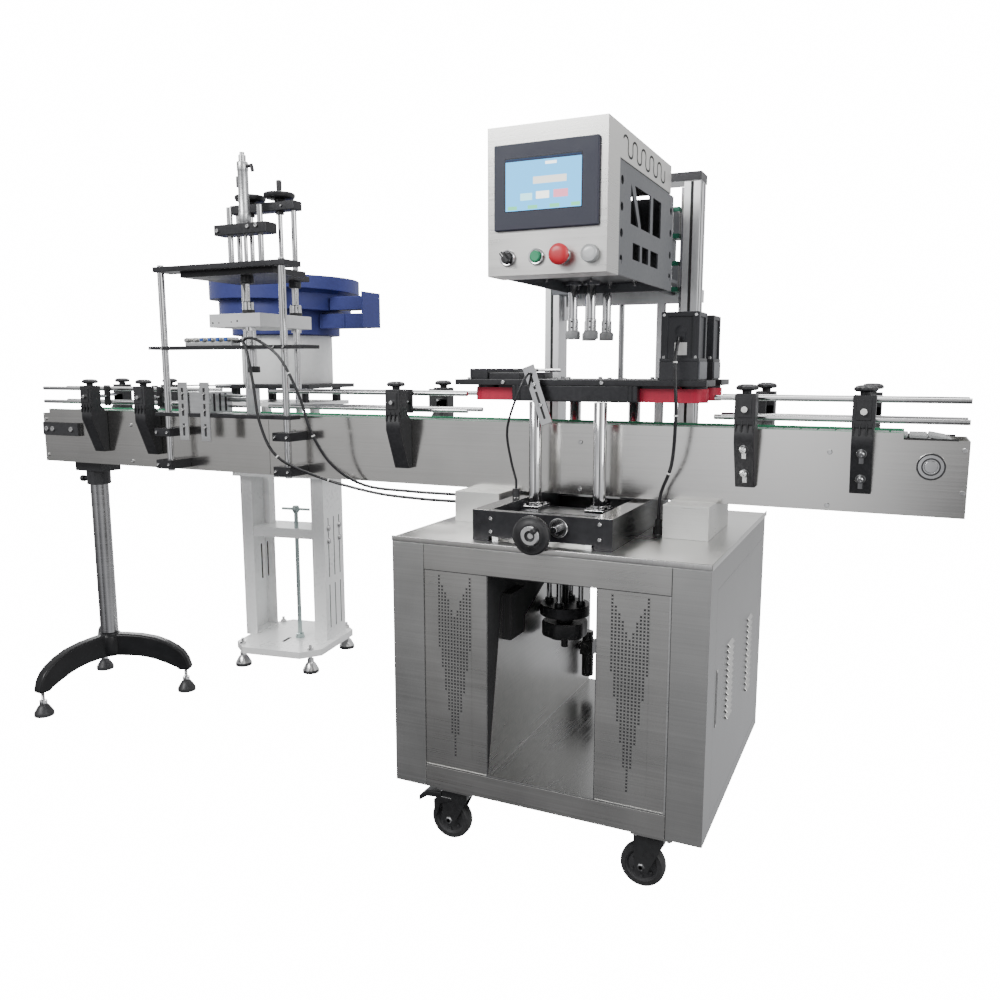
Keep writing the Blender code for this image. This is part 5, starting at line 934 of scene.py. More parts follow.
def posts(mirror):
    parts = [turned([(0.0, 1.0435), (0.0148, 1.0435), (0.0155, 1.0425), (0.0155, 0.7945), (0.0, 0.7945)],
                    (x, POST_Y, 0)) for x in POST_XS]
    for x in POST_XS:
        parts.append(block("flange", (x - 0.024, -0.101, 0.7835), (x + 0.024, -0.029, 0.7936), 0.0012))
        parts.append(turned([(0.0155, 0.8000), (0.0195, 0.8000), (0.0205, 0.7990), (0.0205, 0.7930),
                             (0.0155, 0.7930),
                             (0.0155, 0.8000)], (x, POST_Y, 0)))
        for dx in (-0.017, 0.017):
            for dy in (-0.027, 0.027):
                parts.append(turned([(0.0, 0.7966), (0.0022, 0.7966), (0.0022, 0.7976), (0.0040, 0.7976),
                                     (0.0044, 0.7970), (0.0044, 0.7930), (0.0, 0.7930)],
                                     (x + dx, POST_Y + dy, 0), "Z", 16, 30))
    made = joined(parts)
    return mirror_back(made) if mirror else made


def beam(mirror):
    made = joined([block("beam", (0.4603, -0.115, 0.7526), (0.7077, -0.015, 0.7838), 0.0012),
                   block("nut", (0.580, -0.118, 0.757), (0.608, -0.112, 0.782), 0.0008)])
    return mirror_back(made) if mirror else made


BELT_RED = finish("red_rubber", (0.50, 0.010, 0.045), 0.46, vary=0.10, size=(220, 220, 8), bump=0.10)
MOTOR_BLACK = finish("black_powder_coat", (0.030, 0.031, 0.036), 0.42, metallic=0.1, vary=0.18,
                     size=(240, 240, 240),
                     bump=0.12)
ADAPTER_GREY = finish("grey_casting", (0.17, 0.175, 0.19), 0.42, metallic=0.5, vary=0.12,
                      size=(160, 160, 160), bump=0.08)
LABEL_WHITE = finish("blank_plate", (0.78, 0.78, 0.76), 0.40, vary=0.03)


PULLEY_XS = (0.333, 0.853)
BELT_Y = -0.0045
BELT_RADIUS, BELT_BACK = 0.032, 0.0296
FLUTE_COUNT, FLUTE_DEPTH = 150, 0.0007
BELT_LOW, BELT_HIGH = 1.0446, 1.0759


def fluted_belt():
    left, right = PULLEY_XS
    straight = right - left
    half_turn = math.pi * BELT_RADIUS
    outer, inner = [], []
    for i in range(2 * FLUTE_COUNT):
        s = 2 * (straight + half_turn) * i / (2 * FLUTE_COUNT)
        r = BELT_RADIUS if i % 2 else BELT_RADIUS - FLUTE_DEPTH
        if s < straight:
            outer.append((left + s, BELT_Y - r))
        elif s < straight + half_turn:
            a = (s - straight) / BELT_RADIUS
            outer.append((right + r * math.sin(a), BELT_Y - r * math.cos(a)))
        elif s < 2 * straight + half_turn:
            outer.append((right - (s - straight - half_turn), BELT_Y + r))
        else:
            a = (s - 2 * straight - half_turn) / BELT_RADIUS
            outer.append((left - r * math.sin(a), BELT_Y + r * math.cos(a)))
    for x, y in outer:
        cx = min(max(x, left), right)
        d = Vector((x - cx, y - BELT_Y))
        d = d * (BELT_BACK / d.length)
        inner.append((cx + d.x, BELT_Y + d.y))
    low, high = BELT_LOW, BELT_HIGH
    mesh = bpy.data.meshes.new("belt")
    n = len(outer)
    verts = [(x, y, low) for x, y in outer] + [(x, y, high) for x, y in outer]
    verts += [(x, y, low) for x, y in inner] + [(x, y, high) for x, y in inner]
    faces = []
    for i in range(n):
        j = (i + 1) % n
        faces += [(i, j, n + j, n + i), (2 * n + j, 2 * n + i, 3 * n + i, 3 * n + j),
                  (n + i, n + j, 3 * n + j, 3 * n + i), (j, i, 2 * n + i, 2 * n + j)]
    mesh.from_pydata(verts, [], faces)
    piece = bpy.data.objects.new("belt", mesh)
    bpy.context.scene.collection.objects.link(piece)
    only(piece)
    bpy.ops.object.shade_smooth_by_angle(angle=math.radians(30))
    return piece


def belt_plate():
    parts = [block("plate", (0.265, -0.062, 1.082), (0.892, 0.040, 1.096), 0.0012)]
    parts.append(outline_plate("xy", [(0.420, -0.060), (0.735, -0.060), (0.735, -0.0372), (0.420, -0.0372)],
                               1.044, 1.083, 0.003, 3))
    parts.append(turned([(0.0, 1.083), (0.016, 1.083), (0.016, 1.046), (0.0, 1.046)], (0.436, -0.046, 0)))
    parts.append(turned([(0.0, 1.083), (0.0155, 1.083), (0.0155, 1.046), (0.0, 1.046)], (0.7185, -0.046, 0)))
    for x in PULLEY_XS:
        parts.append(turned([(0.0, 1.083), (0.0290, 1.083), (0.0290, 1.0450), (0.0, 1.0450)], (x, BELT_Y, 0)))
    parts.append(block("bed", (0.3725, -0.0335, 1.0450), (0.8135, 0.0245, 1.0825), 0.0008))
    parts.append(block("tension", (0.295, -0.040, 1.0955), (0.345, 0.030, 1.122), 0.002))
    parts.append(block("tension_low", (0.345, -0.034, 1.0955), (0.430, 0.020, 1.112), 0.0015))
    return joined(parts)


def gear_motor():
    x0, x1, y0, y1 = 0.783, 0.869, -0.0485, 0.0375
    parts = [block("motor", (x0 + 0.004, y0 + 0.004, 1.1385), (x1 - 0.004, y1 - 0.004, 1.246), 0.002)]
    for x in (x0, x1 - 0.016):
        for y in (y0 + 0.001, y1 - 0.016):
            parts.append(block("rail", (x, y, 1.1385), (x + 0.016, y + 0.015, 1.2478), 0.0022))
    parts.append(block("cap", (x0 + 0.0004, y0 + 0.0014, 1.2365), (x1 - 0.0004, y1 - 0.0004, 1.2479), 0.002))
    parts.append(block("foot", (x0 - 0.0018, y0 + 0.0004, 1.1372), (x1 + 0.0016, y1 - 0.0002, 1.1450),
                       0.0012))
    parts.append(turned([(0.0, 0.0036), (0.009, 0.0036), (0.013, 0.0020), (0.013, -0.006), (0.0, -0.006)],
                        (0.828, -0.0436, 1.205), "Y", 32))
    parts.append(block("lid", (0.818, -0.0474, 1.183), (0.838, -0.042, 1.200), 0.0012))
    return joined(parts)


for side, mirror in (("front", False), ("rear", True)):
    body = side + "_belt_unit"
    settle(posts(mirror), side + "_posts", body, [CHROME], (side + "_carriage",))
    settle(beam(mirror), side + "_beam", body, [ANODISED])
    made = {"plate": belt_plate(),
            "head": block("gear", (0.781, -0.0484, 1.0955), (0.869, 0.0372, 1.1375), 0.0014),
            "motor": gear_motor(),
            "adapter": block("adapter", (0.8685, -0.0440, 1.098), (0.8725, 0.0335, 1.1375), 0.001),
            "belt": fluted_belt()}
    bolts = []
    for x, y in ((0.790, -0.0445), (0.862, -0.0445), (0.790, 0.0335), (0.862, 0.0335)):
        bolts.append(turned([(0.0, 1.1512), (0.0032, 1.1512), (0.0042, 1.1502), (0.0042, 1.1445),
                             (0.0, 1.1445)],
                            (x, y, 0), "Z", 12, 30))
        bolts.append(bar((x, y - 0.0058 if y < 0 else y, 1.2405), (x, y, 1.2405), 0.0036, 16, 0.0006))
    for x, y in ((0.300, -0.050), (0.455, -0.048), (0.560, -0.048), (0.700, -0.048), (0.760, 0.020),
                 (0.500, 0.028),
                 (0.640, 0.028), (0.360, 0.030)):
        bolts.append(turned([(0.0, 1.0992), (0.0024, 1.0992), (0.0024, 1.1008), (0.0048, 1.1008),
                             (0.0054, 1.1000),
                             (0.0054, 1.0950), (0.0, 1.0950)], (x, y, 0), "Z", 16, 30))
    bolts += [cap_screw(x, 1.089, -0.0618, 0.0045) for x in (0.398, 0.650)]
    made["bolts"] = joined(bolts)
    made["label"] = block("label", (0.814, -0.0455, 1.152), (0.842, -0.0440, 1.180), 0.0004)
    if mirror:
        made = {key: mirror_back(piece) for key, piece in made.items()}
    settle(made["plate"], side + "_belt_plate", body, [ANODISED], (side + "_belt_frame",))
    settle(made["head"], side + "_gear_head", body, [MOTOR_BLACK])
    settle(made["motor"], side + "_motor", body, [MOTOR_BLACK])
    settle(made["adapter"], side + "_motor_adapter", body, [ADAPTER_GREY])
    settle(made["belt"], side + "_fluted_belt", body, [BELT_RED], (side + "_belt",))
    settle(made["bolts"], side + "_belt_bolts", body, [SCREW_STEEL])
    settle(made["label"], side + "_blank_plate", body, [LABEL_WHITE])

# Sensor arm: a slotted bright bracket that leans against the front posts, with a cross rod above the plate.
arm = outline_plate("xz", [(-0.015, -0.075), (0.015, -0.075), (0.015, 0.070), (-0.015, 0.070)], -0.0866,
                    -0.0816, 0.001)
lean_arm = Matrix.Translation((0.497, 0, 1.062)) @ Matrix.Rotation(math.radians(-20), 4, "Y")
arm.data.transform(lean_arm)
# The arm's slots are near-black strips: painted shade, not cut.
slots = joined([block("slot", (-0.003, -0.0869, z), (0.003, -0.0860, z + 0.030), 0.0003)
                for z in (-0.062, -0.024, 0.012)])
only(slots)
bpy.ops.object.transform_apply(location=True, rotation=True, scale=True)
slots.data.transform(lean_arm)
settle(slots, "sensor_arm_slots", "front_belt_unit", [PAINTED_SHADE_AND_BLACK])
arm_bits = [arm, block("spacer", (0.474, -0.083, 1.084), (0.494, -0.061, 1.095), 0.0008),
            bar((0.468, -0.084, 1.118), (0.468, -0.010, 1.118), 0.0045, 20),
            bar((0.452, -0.0135, 1.118), (0.530, -0.0135, 1.118), 0.0040, 20),
            cap_screw(0.506, 1.036, -0.0866, 0.0052), cap_screw(0.489, 1.084, -0.0866, 0.0052)]
settle(joined(arm_bits), "sensor_arm", "front_belt_unit", [CHROME])


# Jack and air regulator.
# Below the cabinet top, four ground pull rods hold a black flange with the jack's handwheel; the regulator
# and its grey bowl hang on the bay's left wall.
jack_x = 0.5425
pull_rods = [(jack_x + dx, dy) for dx, dy in ((-0.0425, 0), (0.0425, 0), (0, -0.0425), (0, 0.0425))]
rods = [bar((x, y, 0.531), (x, y, 0.734), 0.0070, 28) for x, y in pull_rods]
settle(joined(rods), "jack_rods", "machine", [CHROME], ("jack_frame",))
flange = [turned([(0.0105, 0.5348), (0.062, 0.5348), (0.0635, 0.5335), (0.0635, 0.5085), (0.062, 0.5072),
                  (0.0105, 0.5072),
                  (0.0105, 0.5348)], (jack_x, 0, 0), "Z", 64)]
flange += [turned([(0.0073, 0.545), (0.0105, 0.545), (0.0115, 0.543), (0.0115, 0.5345), (0.0073, 0.5345),
                   (0.0073, 0.545)],
                  (x, y, 0), "Z", 28) for x, y in pull_rods]
settle(joined(flange), "jack_flange", "machine", [ANODISED])
wheel = turned([(0.0, 0.7358), (0.0088, 0.7358), (0.0088, 0.506), (0.021, 0.505), (0.022, 0.500),
                (0.022, 0.489),
                (0.030, 0.487), (0.046, 0.490), (0.0560, 0.4915), (0.0585, 0.486), (0.0585, 0.458),
                (0.0560, 0.4525),
                (0.048, 0.452), (0.030, 0.455), (0.020, 0.452), (0.009, 0.450), (0.009, 0.421),
                (0.0075, 0.420),
                (0.0, 0.420)], (jack_x, 0, 0), "Z", 72)
for point in wheel.data.vertices:
    reach_out = math.hypot(point.co.x - jack_x, point.co.y)
    if reach_out > 0.047:
        swell = 1.0 - 0.045 * (1 + math.cos(6 * math.atan2(point.co.y, point.co.x - jack_x)))
        point.co.x = jack_x + (point.co.x - jack_x) * swell
        point.co.y *= swell
settle(wheel, "jack_wheel_rim", "jack_wheel", [BLACK_NYLON], ("jack_handwheel",))
SMOKE = finish("smoky_bowl", (0.05, 0.055, 0.06), 0.18, vary=0.2)
dressed("air_regulator", [BLACK_PAINT], 0.0012)
bowl = turned([(0.0, 0.331), (0.0165, 0.331), (0.0165, 0.270), (0.012, 0.250), (0.004, 0.242), (0.0, 0.242)],
              (0.502, 0.300, 0), "Z", 32)
settle(bowl, "regulator_bowl", "machine", [SMOKE])


# Columns.
# Two anodised extrusions stand behind the belts under a black cap; each has a T slot down its faces and a
# hardened track for the head's carriages.
ALUMINIUM = finish("clear_anodised", (0.78, 0.785, 0.79), 0.38, 0.70, vary=0.05, size=(90, 90, 4), bump=0.02,
                   rough_vary=0.06)
dressed("column_frame", [ALUMINIUM, ANODISED, CHROME], 0.0012,
        [(1, (0.0, 0.0, 1.5795), (1.0, 0.5, 1.61)), (1, (0.4355, 0.2795, 1.28), (0.763, 0.31, 1.33)),
         (1, (0.684, 0.2795, 0.84), (0.706, 0.31, 1.33)), (2, (0.57, 0.27, 1.02), (0.61, 0.31, 1.289)),
         (2, (0.4352, 0.23, 1.2), (0.4475, 0.26, 1.5795)), (2, (0.751, 0.23, 1.2), (0.7633, 0.26, 1.5795))],
         35)
# Near-black strips down the T slots and beside the tracks: painted shade in the grooves.
slots = []
for x in (0.4115, 0.7800):
    slots.append(block("slot", (x, 0.2146, 0.742), (x + 0.007, 0.2152, 1.578), 0))
    slots.append(block("slot", (x, 0.2798, 0.742), (x + 0.007, 0.2804, 1.286), 0))
for x in (0.3946, 0.8032):
    for y in (0.2275, 0.2590):
        slots.append(block("slot", (x, y, 0.742), (x + 0.0006, y + 0.0065, 1.578), 0))
settle(joined(slots), "column_slots", "column", [PAINTED_SHADE_AND_BLACK])
cap_bits = [block("cap_end", (0.3925, 0.2125, 1.5995), (0.8060, 0.2825, 1.6010), 0.0006)]
for x in (0.415, 0.7835):
    for y in (0.232, 0.263):
        cap_bits.append(turned([(0.0, 1.6018), (0.0025, 1.6018), (0.0025, 1.6030), (0.0048, 1.6030),
                                (0.0052, 1.6022),
                                (0.0052, 1.6000), (0.0, 1.6000)], (x, y, 0), "Z", 16, 30))
settle(joined(cap_bits), "column_cap_screws", "column", [ANODISED])


# Head box.
# A folded stainless hood with an upright front case; the wave slot in its side is laser cut, and the dark
# side plates carry the deck, its bearings and the carriages on the columns' tracks.
HEAD_STEEL = finish("satin_stainless", (0.60, 0.595, 0.575), 0.30, 1.0, vary=0.06, size=(4, 4, 300),
                    bump=0.015,
                    rough_vary=0.06)
GREY_PLATE = finish("grey_painted_plate", (0.115, 0.120, 0.130), 0.42, 0.55, vary=0.10, size=(120, 120, 120),
                    bump=0.04)
dressed("head_box", [HEAD_STEEL], 0.0016, (), 35)
dressed("head_frame", [GREY_PLATE, MOTOR_BLACK, CHROME], 0.0007,
        [(1, (0.5275, -0.33, 1.320), (0.7620, 0.17, 1.4205)),
         (2, (0.4465, 0.2250, 1.30), (0.4637, 0.27, 1.53)),
         (2, (0.7348, 0.2250, 1.30), (0.7516, 0.27, 1.53))], 35)
wave = []
steps = 200
slot_half, slot_thick = 0.0022, 0.0005
wave_start, wave_length, wave_height = -0.306, 0.316, 1.552
wave_rise, wave_swell, wave_count = 0.0175, 0.0062, 5
for i in range(steps + 1):
    t = i / steps
    turn = 2 * math.pi * wave_count
    phase = turn * t + 0.6
    y = wave_start + wave_length * t - wave_swell * math.sin(2 * phase)
    z = wave_height + wave_rise * math.sin(phase)
    dy = wave_length - wave_swell * 2 * turn * math.cos(2 * phase)
    dz = wave_rise * turn * math.cos(phase)
    size = math.hypot(dy, dz)
    wave.append((y, z, -dz / size * slot_half, dy / size * slot_half))
# Each wave slot is a thin near-black ribbon on the side: painted shade where the slot is cut.
for side, x in (("right", 0.7683), ("left", 0.5203)):
    mesh = bpy.data.meshes.new("wave")
    points = [(x, y + a, z + b) for y, z, a, b in wave] + [(x, y - a, z - b) for y, z, a, b in wave]
    n = len(wave)
    mesh.from_pydata(points, [], [(i, i + 1, n + i + 1, n + i) for i in range(n - 1)])
    slot = bpy.data.objects.new("wave", mesh)
    bpy.context.scene.collection.objects.link(slot)
    only(slot)
    bpy.ops.object.mode_set(mode="EDIT")
    bpy.ops.mesh.select_all(action="SELECT")
    bpy.ops.mesh.extrude_region_move(TRANSFORM_OT_translate={"value": (slot_thick, 0, 0)})
    bpy.ops.mesh.select_all(action="SELECT")
    bpy.ops.mesh.normals_make_consistent(inside=False)
    bpy.ops.object.mode_set(mode="OBJECT")
    settle(slot, "wave_slot_" + side, "head", [PAINTED_SHADE_AND_BLACK])
GREEN_CAP = finish("green_end_cap", (0.02, 0.17, 0.10), 0.35, vary=0.12)
caps = []
for x0, x1 in ((0.4470, 0.4636), (0.7349, 0.7515)):
    for z0, z1 in ((1.446, 1.522), (1.315, 1.390)):
        for low in (z0 - 0.0004, z1 - 0.0116):
            caps.append(block("cap", (x0, 0.2250, low), (x1, 0.2700, low + 0.012), 0.0012))
settle(joined(caps), "carriage_end_caps", "head", [GREEN_CAP])
hanging = []
for x, y in ((0.535, -0.300), (0.560, -0.250), (0.600, -0.280), (0.650, -0.290), (0.700, -0.260),
             (0.745, -0.290),
             (0.545, -0.150), (0.640, -0.120), (0.740, -0.140), (0.700, 0.020), (0.740, 0.060),
             (0.660, 0.120),
             (0.540, 0.075), (0.625, 0.060), (0.740, 0.140)):
    hanging.append(bar((x, y, 1.314), (x, y, 1.3272), 0.0030, 14))
    hanging.append(turned([(0.0, 1.3232), (0.0062, 1.3232), (0.0062, 1.3272), (0.0, 1.3272)], (x, y, 0), "Z",
                          6, 20))
settle(joined(hanging), "deck_screws", "head", [SCREW_STEEL])
bearings = [turned([(0.0115, 1.3268), (0.020, 1.3268), (0.020, 1.3215), (0.0185, 1.3200), (0.0125, 1.3200),
                    (0.0115, 1.3210),
                    (0.0115, 1.3268)], (x, y, 0), "Z", 40) for x in (0.549, 0.595) for y in (0.015, 0.135)]
settle(joined(bearings), "spindle_bearings", "head", [ADAPTER_GREY])


# Touch screen.
# A 7 inch panel in a dark slate bezel, clipped into the front; its lit page shows plain coloured fields.
SLATE = finish("slate_bezel", (0.045, 0.048, 0.068), 0.50, vary=0.04, size=(40, 40, 40), bump=0.0, shine=0.25)


def lit(name, colour, strength):
    look = finish(name, [0.3 * c for c in colour], 0.45, vary=0.05, size=(60, 60, 60), bump=0.0, shine=0.15)
    shader = look.node_tree.nodes["Principled BSDF"]
    shader.inputs["Emission Color"].default_value = (*colour, 1)
    shader.inputs["Emission Strength"].default_value = strength
    return look


def screen_plate(x0, x1, z0, z1, depth, radius):
    points = []
    for cx, cz, first in ((x1 - radius, z0 + radius, -90), (x1 - radius, z1 - radius, 0),
                          (x0 + radius, z1 - radius, 90),
                          (x0 + radius, z0 + radius, 180)):
        for i in range(5):
            a = math.radians(first + 22.5 * i)
            points.append((cx + radius * math.cos(a), cz + radius * math.sin(a)))
    return outline_plate("xz", points, depth, depth + 0.0006, 0)


bezel = block("bezel", (0.538, -0.4109, 1.388), (0.753, -0.4029, 1.549), 0.0030, 4)
settle(bezel, "screen_bezel", "head", [SLATE], ("touch_screen",))
lcd = (0.5635, 0.7190, 1.4240, 1.5150)
DARK_GLASS = finish("dark_glass", (0.012, 0.014, 0.022), 0.30, vary=0.05, shine=0.3)
glass = screen_plate(lcd[0] - 0.002, lcd[1] + 0.002, lcd[2] - 0.002, lcd[3] + 0.0075, -0.4110, 0.0015)
settle(glass, "screen_glass", "head", [DARK_GLASS])
settle(screen_plate(*lcd, -0.4112, 0.0006), "screen_page", "head",
       [lit("page_blue", (0.10, 0.50, 0.95), 2.30)])
strip = screen_plate(lcd[0], lcd[1] - 0.0006, lcd[3] + 0.0018, lcd[3] + 0.0052, -0.4112, 0.0006)
settle(strip, "screen_head_strip", "head", [lit("strip_blue", (0.05, 0.10, 0.25), 0.25)])
wide = lcd[1] - lcd[0]
tall = lcd[3] - lcd[2]
fields = {"title": (0.53, 0.68, 0.895, 0.955, (0.92, 0.97, 1.0), 3.0),
          "value": (0.37, 0.81, 0.52, 0.665, (0.88, 0.86, 0.80), 2.0),
          "left_key": (0.20, 0.36, 0.20, 0.345, (0.42, 0.88, 0.95), 2.4),
          "middle_key": (0.41, 0.585, 0.215, 0.365, (0.96, 0.97, 0.92), 2.8),
          "right_key": (0.64, 0.83, 0.215, 0.375, (0.96, 0.32, 0.46), 1.9),
          "green_1": (0.03, 0.155, 0.02, 0.095, (0.20, 0.80, 0.42), 1.6),
          "green_2": (0.30, 0.43, 0.02, 0.095, (0.20, 0.80, 0.42), 1.6),
          "green_3": (0.59, 0.72, 0.02, 0.095, (0.20, 0.80, 0.42), 1.6),
          "green_4": (0.87, 0.985, 0.02, 0.095, (0.20, 0.80, 0.42), 1.6)}
for label, (u0, u1, v0, v1, colour, strength) in fields.items():
    made = screen_plate(lcd[0] + u0 * wide, lcd[0] + u1 * wide, lcd[2] + v0 * tall, lcd[2] + v1 * tall,
                        -0.4114, 0.0008)
    settle(made, "screen_" + label, "head", [lit("lit_" + label, colour, strength)])


# Controls.
# A two-way selector with a black lever, a green start button, a red mushroom stop and a ribbed lamp, each in
# a chromed ring.
CONTROL_Y = -0.4026
CONTROL_Z = 1.337
SELECTOR_X, START_X, STOP_X, LAMP_X = 0.565, 0.626, 0.680, 0.737
LEVER_TURN = Matrix.Rotation(math.radians(-40), 4, "Y")
rings = []
for x in (SELECTOR_X, START_X, STOP_X):
    rings.append(turned([(0.0109, 0.0058), (0.0125, 0.0066), (0.0150, 0.0066), (0.0158, 0.0056),
                         (0.0164, 0.0004),
                         (0.0109, 0.0004), (0.0109, 0.0058)], (x, CONTROL_Y, CONTROL_Z), "Y", 48, 30))
settle(joined(rings), "control_rings", "head", [CHROME])
face = [turned([(0.0, 0.0112), (0.0090, 0.0112), (0.0104, 0.0102), (0.0104, 0.0010), (0.0, 0.0010)],
               (SELECTOR_X, CONTROL_Y, CONTROL_Z), "Y", 40, 30)]
lever = block("lever", (-0.0038, -0.0110, -0.0125), (0.0038, 0.0, 0.0125), 0.0016)
only(lever)
bpy.ops.object.transform_apply(location=True, rotation=True, scale=True)
lever.data.transform(Matrix.Translation((SELECTOR_X, CONTROL_Y - 0.0108, CONTROL_Z)) @ LEVER_TURN)
settle(joined(face + [lever]), "selector_lever", "selector", [BLACK_NYLON],
       ("selector_knob",))
mark = block("mark", (-0.0007, -0.0004, 0.002), (0.0007, 0.0, 0.0118), 0)
only(mark)
bpy.ops.object.transform_apply(location=True, rotation=True, scale=True)
mark.data.transform(Matrix.Translation((SELECTOR_X, CONTROL_Y - 0.0217, CONTROL_Z)) @ LEVER_TURN)
settle(mark, "selector_mark", "selector", [WHITE_PLUG])
GO_GREEN = finish("start_green", (0.015, 0.30, 0.13), 0.30, vary=0.06, coat=0.3)
STOP_RED = finish("stop_red", (0.56, 0.018, 0.030), 0.42, vary=0.08, coat=0.3)
cap = turned([(0.0, 0.0108), (0.0085, 0.0110), (0.0102, 0.0100), (0.0104, 0.0085), (0.0104, 0.0040),
              (0.0, 0.0040)],
             (START_X, CONTROL_Y, CONTROL_Z), "Y", 40, 30)
settle(cap, "start_cap", "start", [GO_GREEN], ("start_button",))
cap = turned([(0.0, 0.0303), (0.0060, 0.0302), (0.0130, 0.0294), (0.0178, 0.0272), (0.0198, 0.0245),
              (0.0200, 0.0200),
              (0.0190, 0.0180), (0.0140, 0.0160), (0.0105, 0.0145), (0.0104, 0.0060), (0.0, 0.0060)],
             (STOP_X, CONTROL_Y, CONTROL_Z), "Y", 56, 30)
settle(cap, "stop_cap", "stop", [STOP_RED], ("stop_button",))
LAMP_GREY = finish("lamp_grey", (0.42, 0.43, 0.43), 0.30, 0.3, vary=0.08)
LAMP_LENS = finish("lamp_lens", (0.62, 0.63, 0.63), 0.22, vary=0.06, coat=0.4)
lamp = turned([(0.0125, 0.0150), (0.0150, 0.0150), (0.0162, 0.0138), (0.0164, 0.0002), (0.0125, 0.0002),
               (0.0125, 0.0150)],
              (LAMP_X, CONTROL_Y, CONTROL_Z), "Y", 48, 30)
RIB_COUNT, RIB_REACH = 24, 0.0163
ribs = []
for i in range(RIB_COUNT):
    a = 2 * math.pi * i / RIB_COUNT
    x, z = LAMP_X + RIB_REACH * math.cos(a), CONTROL_Z + RIB_REACH * math.sin(a)
    ribs.append(bar((x, CONTROL_Y - 0.0130, z), (x, CONTROL_Y - 0.0010, z), 0.0008, 8, 0))
settle(joined([lamp] + ribs), "lamp_ring", "head", [LAMP_GREY])
lens = turned([(0.0, 0.0162), (0.0060, 0.0160), (0.0110, 0.0154), (0.0124, 0.0146), (0.0124, 0.0100),
               (0.0, 0.0100)],
              (LAMP_X, CONTROL_Y, CONTROL_Z), "Y", 40, 30)
settle(lens, "lamp_lens", "head", [LAMP_LENS])


# Capping spindles.
# Four ground shafts in the deck's bearings, each with a bored clamping collar and a moulded grey drive cup
# for the caps.
CUP_GREY = finish("grey_rubber_cup", (0.27, 0.275, 0.28), 0.50, vary=0.12, size=(80, 80, 80), bump=0.06)
for row, y in (("front", 0.015), ("rear", 0.135)):
    for side, x in (("left", 0.549), ("right", 0.595)):
        label = "spindle_" + row + "_" + side
        shaft = [turned([(0.0, 1.3498), (0.0105, 1.3498), (0.0112, 1.349), (0.0112, 1.2395), (0.0, 1.2395)],
                        (x, y, 0), "Z", 40),
                 turned([(0.0, 1.2405), (0.0120, 1.2405), (0.0128, 1.2396), (0.0128, 1.2125), (0.0, 1.2125)],
                        (x, y, 0), "Z", 40)]
        settle(joined(shaft), label + "_shaft", label, [CHROME])
        # Two near-black discs on each collar: painted shade in the set screw holes.
        holes = [turned([(0.0, 0.0003), (0.0021, 0.0003), (0.0021, -0.0010), (0.0, -0.0010)],
                        (x + 0.001, y - 0.0127, z), "Y", 14, 30)
                 for z in (1.234, 1.220)]
        settle(joined(holes), label + "_set_screws", label, [PAINTED_SHADE_AND_BLACK])
        cup = turned([(0.0, 1.2128), (0.0135, 1.2128), (0.0168, 1.2110), (0.0180, 1.2080), (0.0180, 1.1940),
                      (0.0170, 1.1922),
                      (0.0130, 1.1920), (0.0115, 1.1950), (0.0, 1.1960)], (x, y, 0), "Z", 48)
        settle(cup, label + "_cup", label, [CUP_GREY], (label,))


# Placing station.
# Chromed posts clamped to both sides of the conveyor carry two black anodised decks; above them a pneumatic
# cylinder stands on its clamp block, and a bridge holds the two adjusting screws.
CLAMP_HEIGHTS = ((0.823, 0.850), (0.921, 0.945))
STATION_POST_RADIUS = 0.010
chrome, dark, steel = [], [], []


def clamps(x, y0, y1, out):
    for z0, z1 in CLAMP_HEIGHTS:
        dark.append(block("clamp", (x - 0.030, y0, z0), (x + 0.030, y1, z1), 0.0014))
        for dx in (-0.021, 0.021):
            steel.append(cap_screw(x + dx, (z0 + z1) / 2, y0 if out < 0 else y1, 0.0042, out))


for x in (-0.715, -0.273):
    chrome.append(bar((x, -0.050, 0.815), (x, -0.050, 1.3997), STATION_POST_RADIUS, 40))
    chrome.append(turned([(0.0, 1.4206), (0.0082, 1.4206), (0.0090, 1.4198), (0.0090, 1.4145), (0.0, 1.4145)],
                         (x, -0.050, 0), "Z", 32))
    clamps(x, -0.080, -0.0003, -1)
for x in (-0.620, -0.424):
    chrome.append(bar((x, 0.200, 0.815), (x, 0.200, 1.3848), STATION_POST_RADIUS, 40))
    clamps(x, 0.1503, 0.230, 1)
dark.append(block("low_bar", (-0.747, -0.072, 0.981), (-0.243, -0.028, 0.992), 0.0010))
dark.append(block("thin_plate", (-0.756, -0.075, 1.1762), (-0.190, -0.002, 1.186), 0.0010))
steel += [cap_screw(x, 1.181, -0.075, 0.0034) for x in (-0.745, -0.700, -0.290, -0.256)]
settle(joined(chrome), "station_posts", "machine", [CHROME], ("station_front_frame",))
settle(joined(dark), "station_clamps", "machine", [ANODISED])

BLOCK_ALUMINIUM = finish("milled_aluminium", (0.55, 0.555, 0.56), 0.33, 0.9, vary=0.10, size=(6, 180, 180),
                         bump=0.03)
silver = [block("manifold", (-0.617, -0.068, 1.1858), (-0.446, -0.026, 1.1975), 0.0012),
          block("stop_box", (-0.633, -0.068, 0.9915), (-0.551, 0.045, 1.054), 0.0015),
          block("stop_plate", (-0.462, 0.002, 0.990), (-0.457, 0.060, 1.063), 0.0008),
          bar((-0.552, 0.030, 1.030), (-0.459, 0.030, 1.030), 0.007, 28),
          bar((-0.552, 0.030, 1.010), (-0.459, 0.030, 1.010), 0.004, 24),
          bar((-0.552, 0.012, 1.042), (-0.459, 0.012, 1.042), 0.004, 24)]
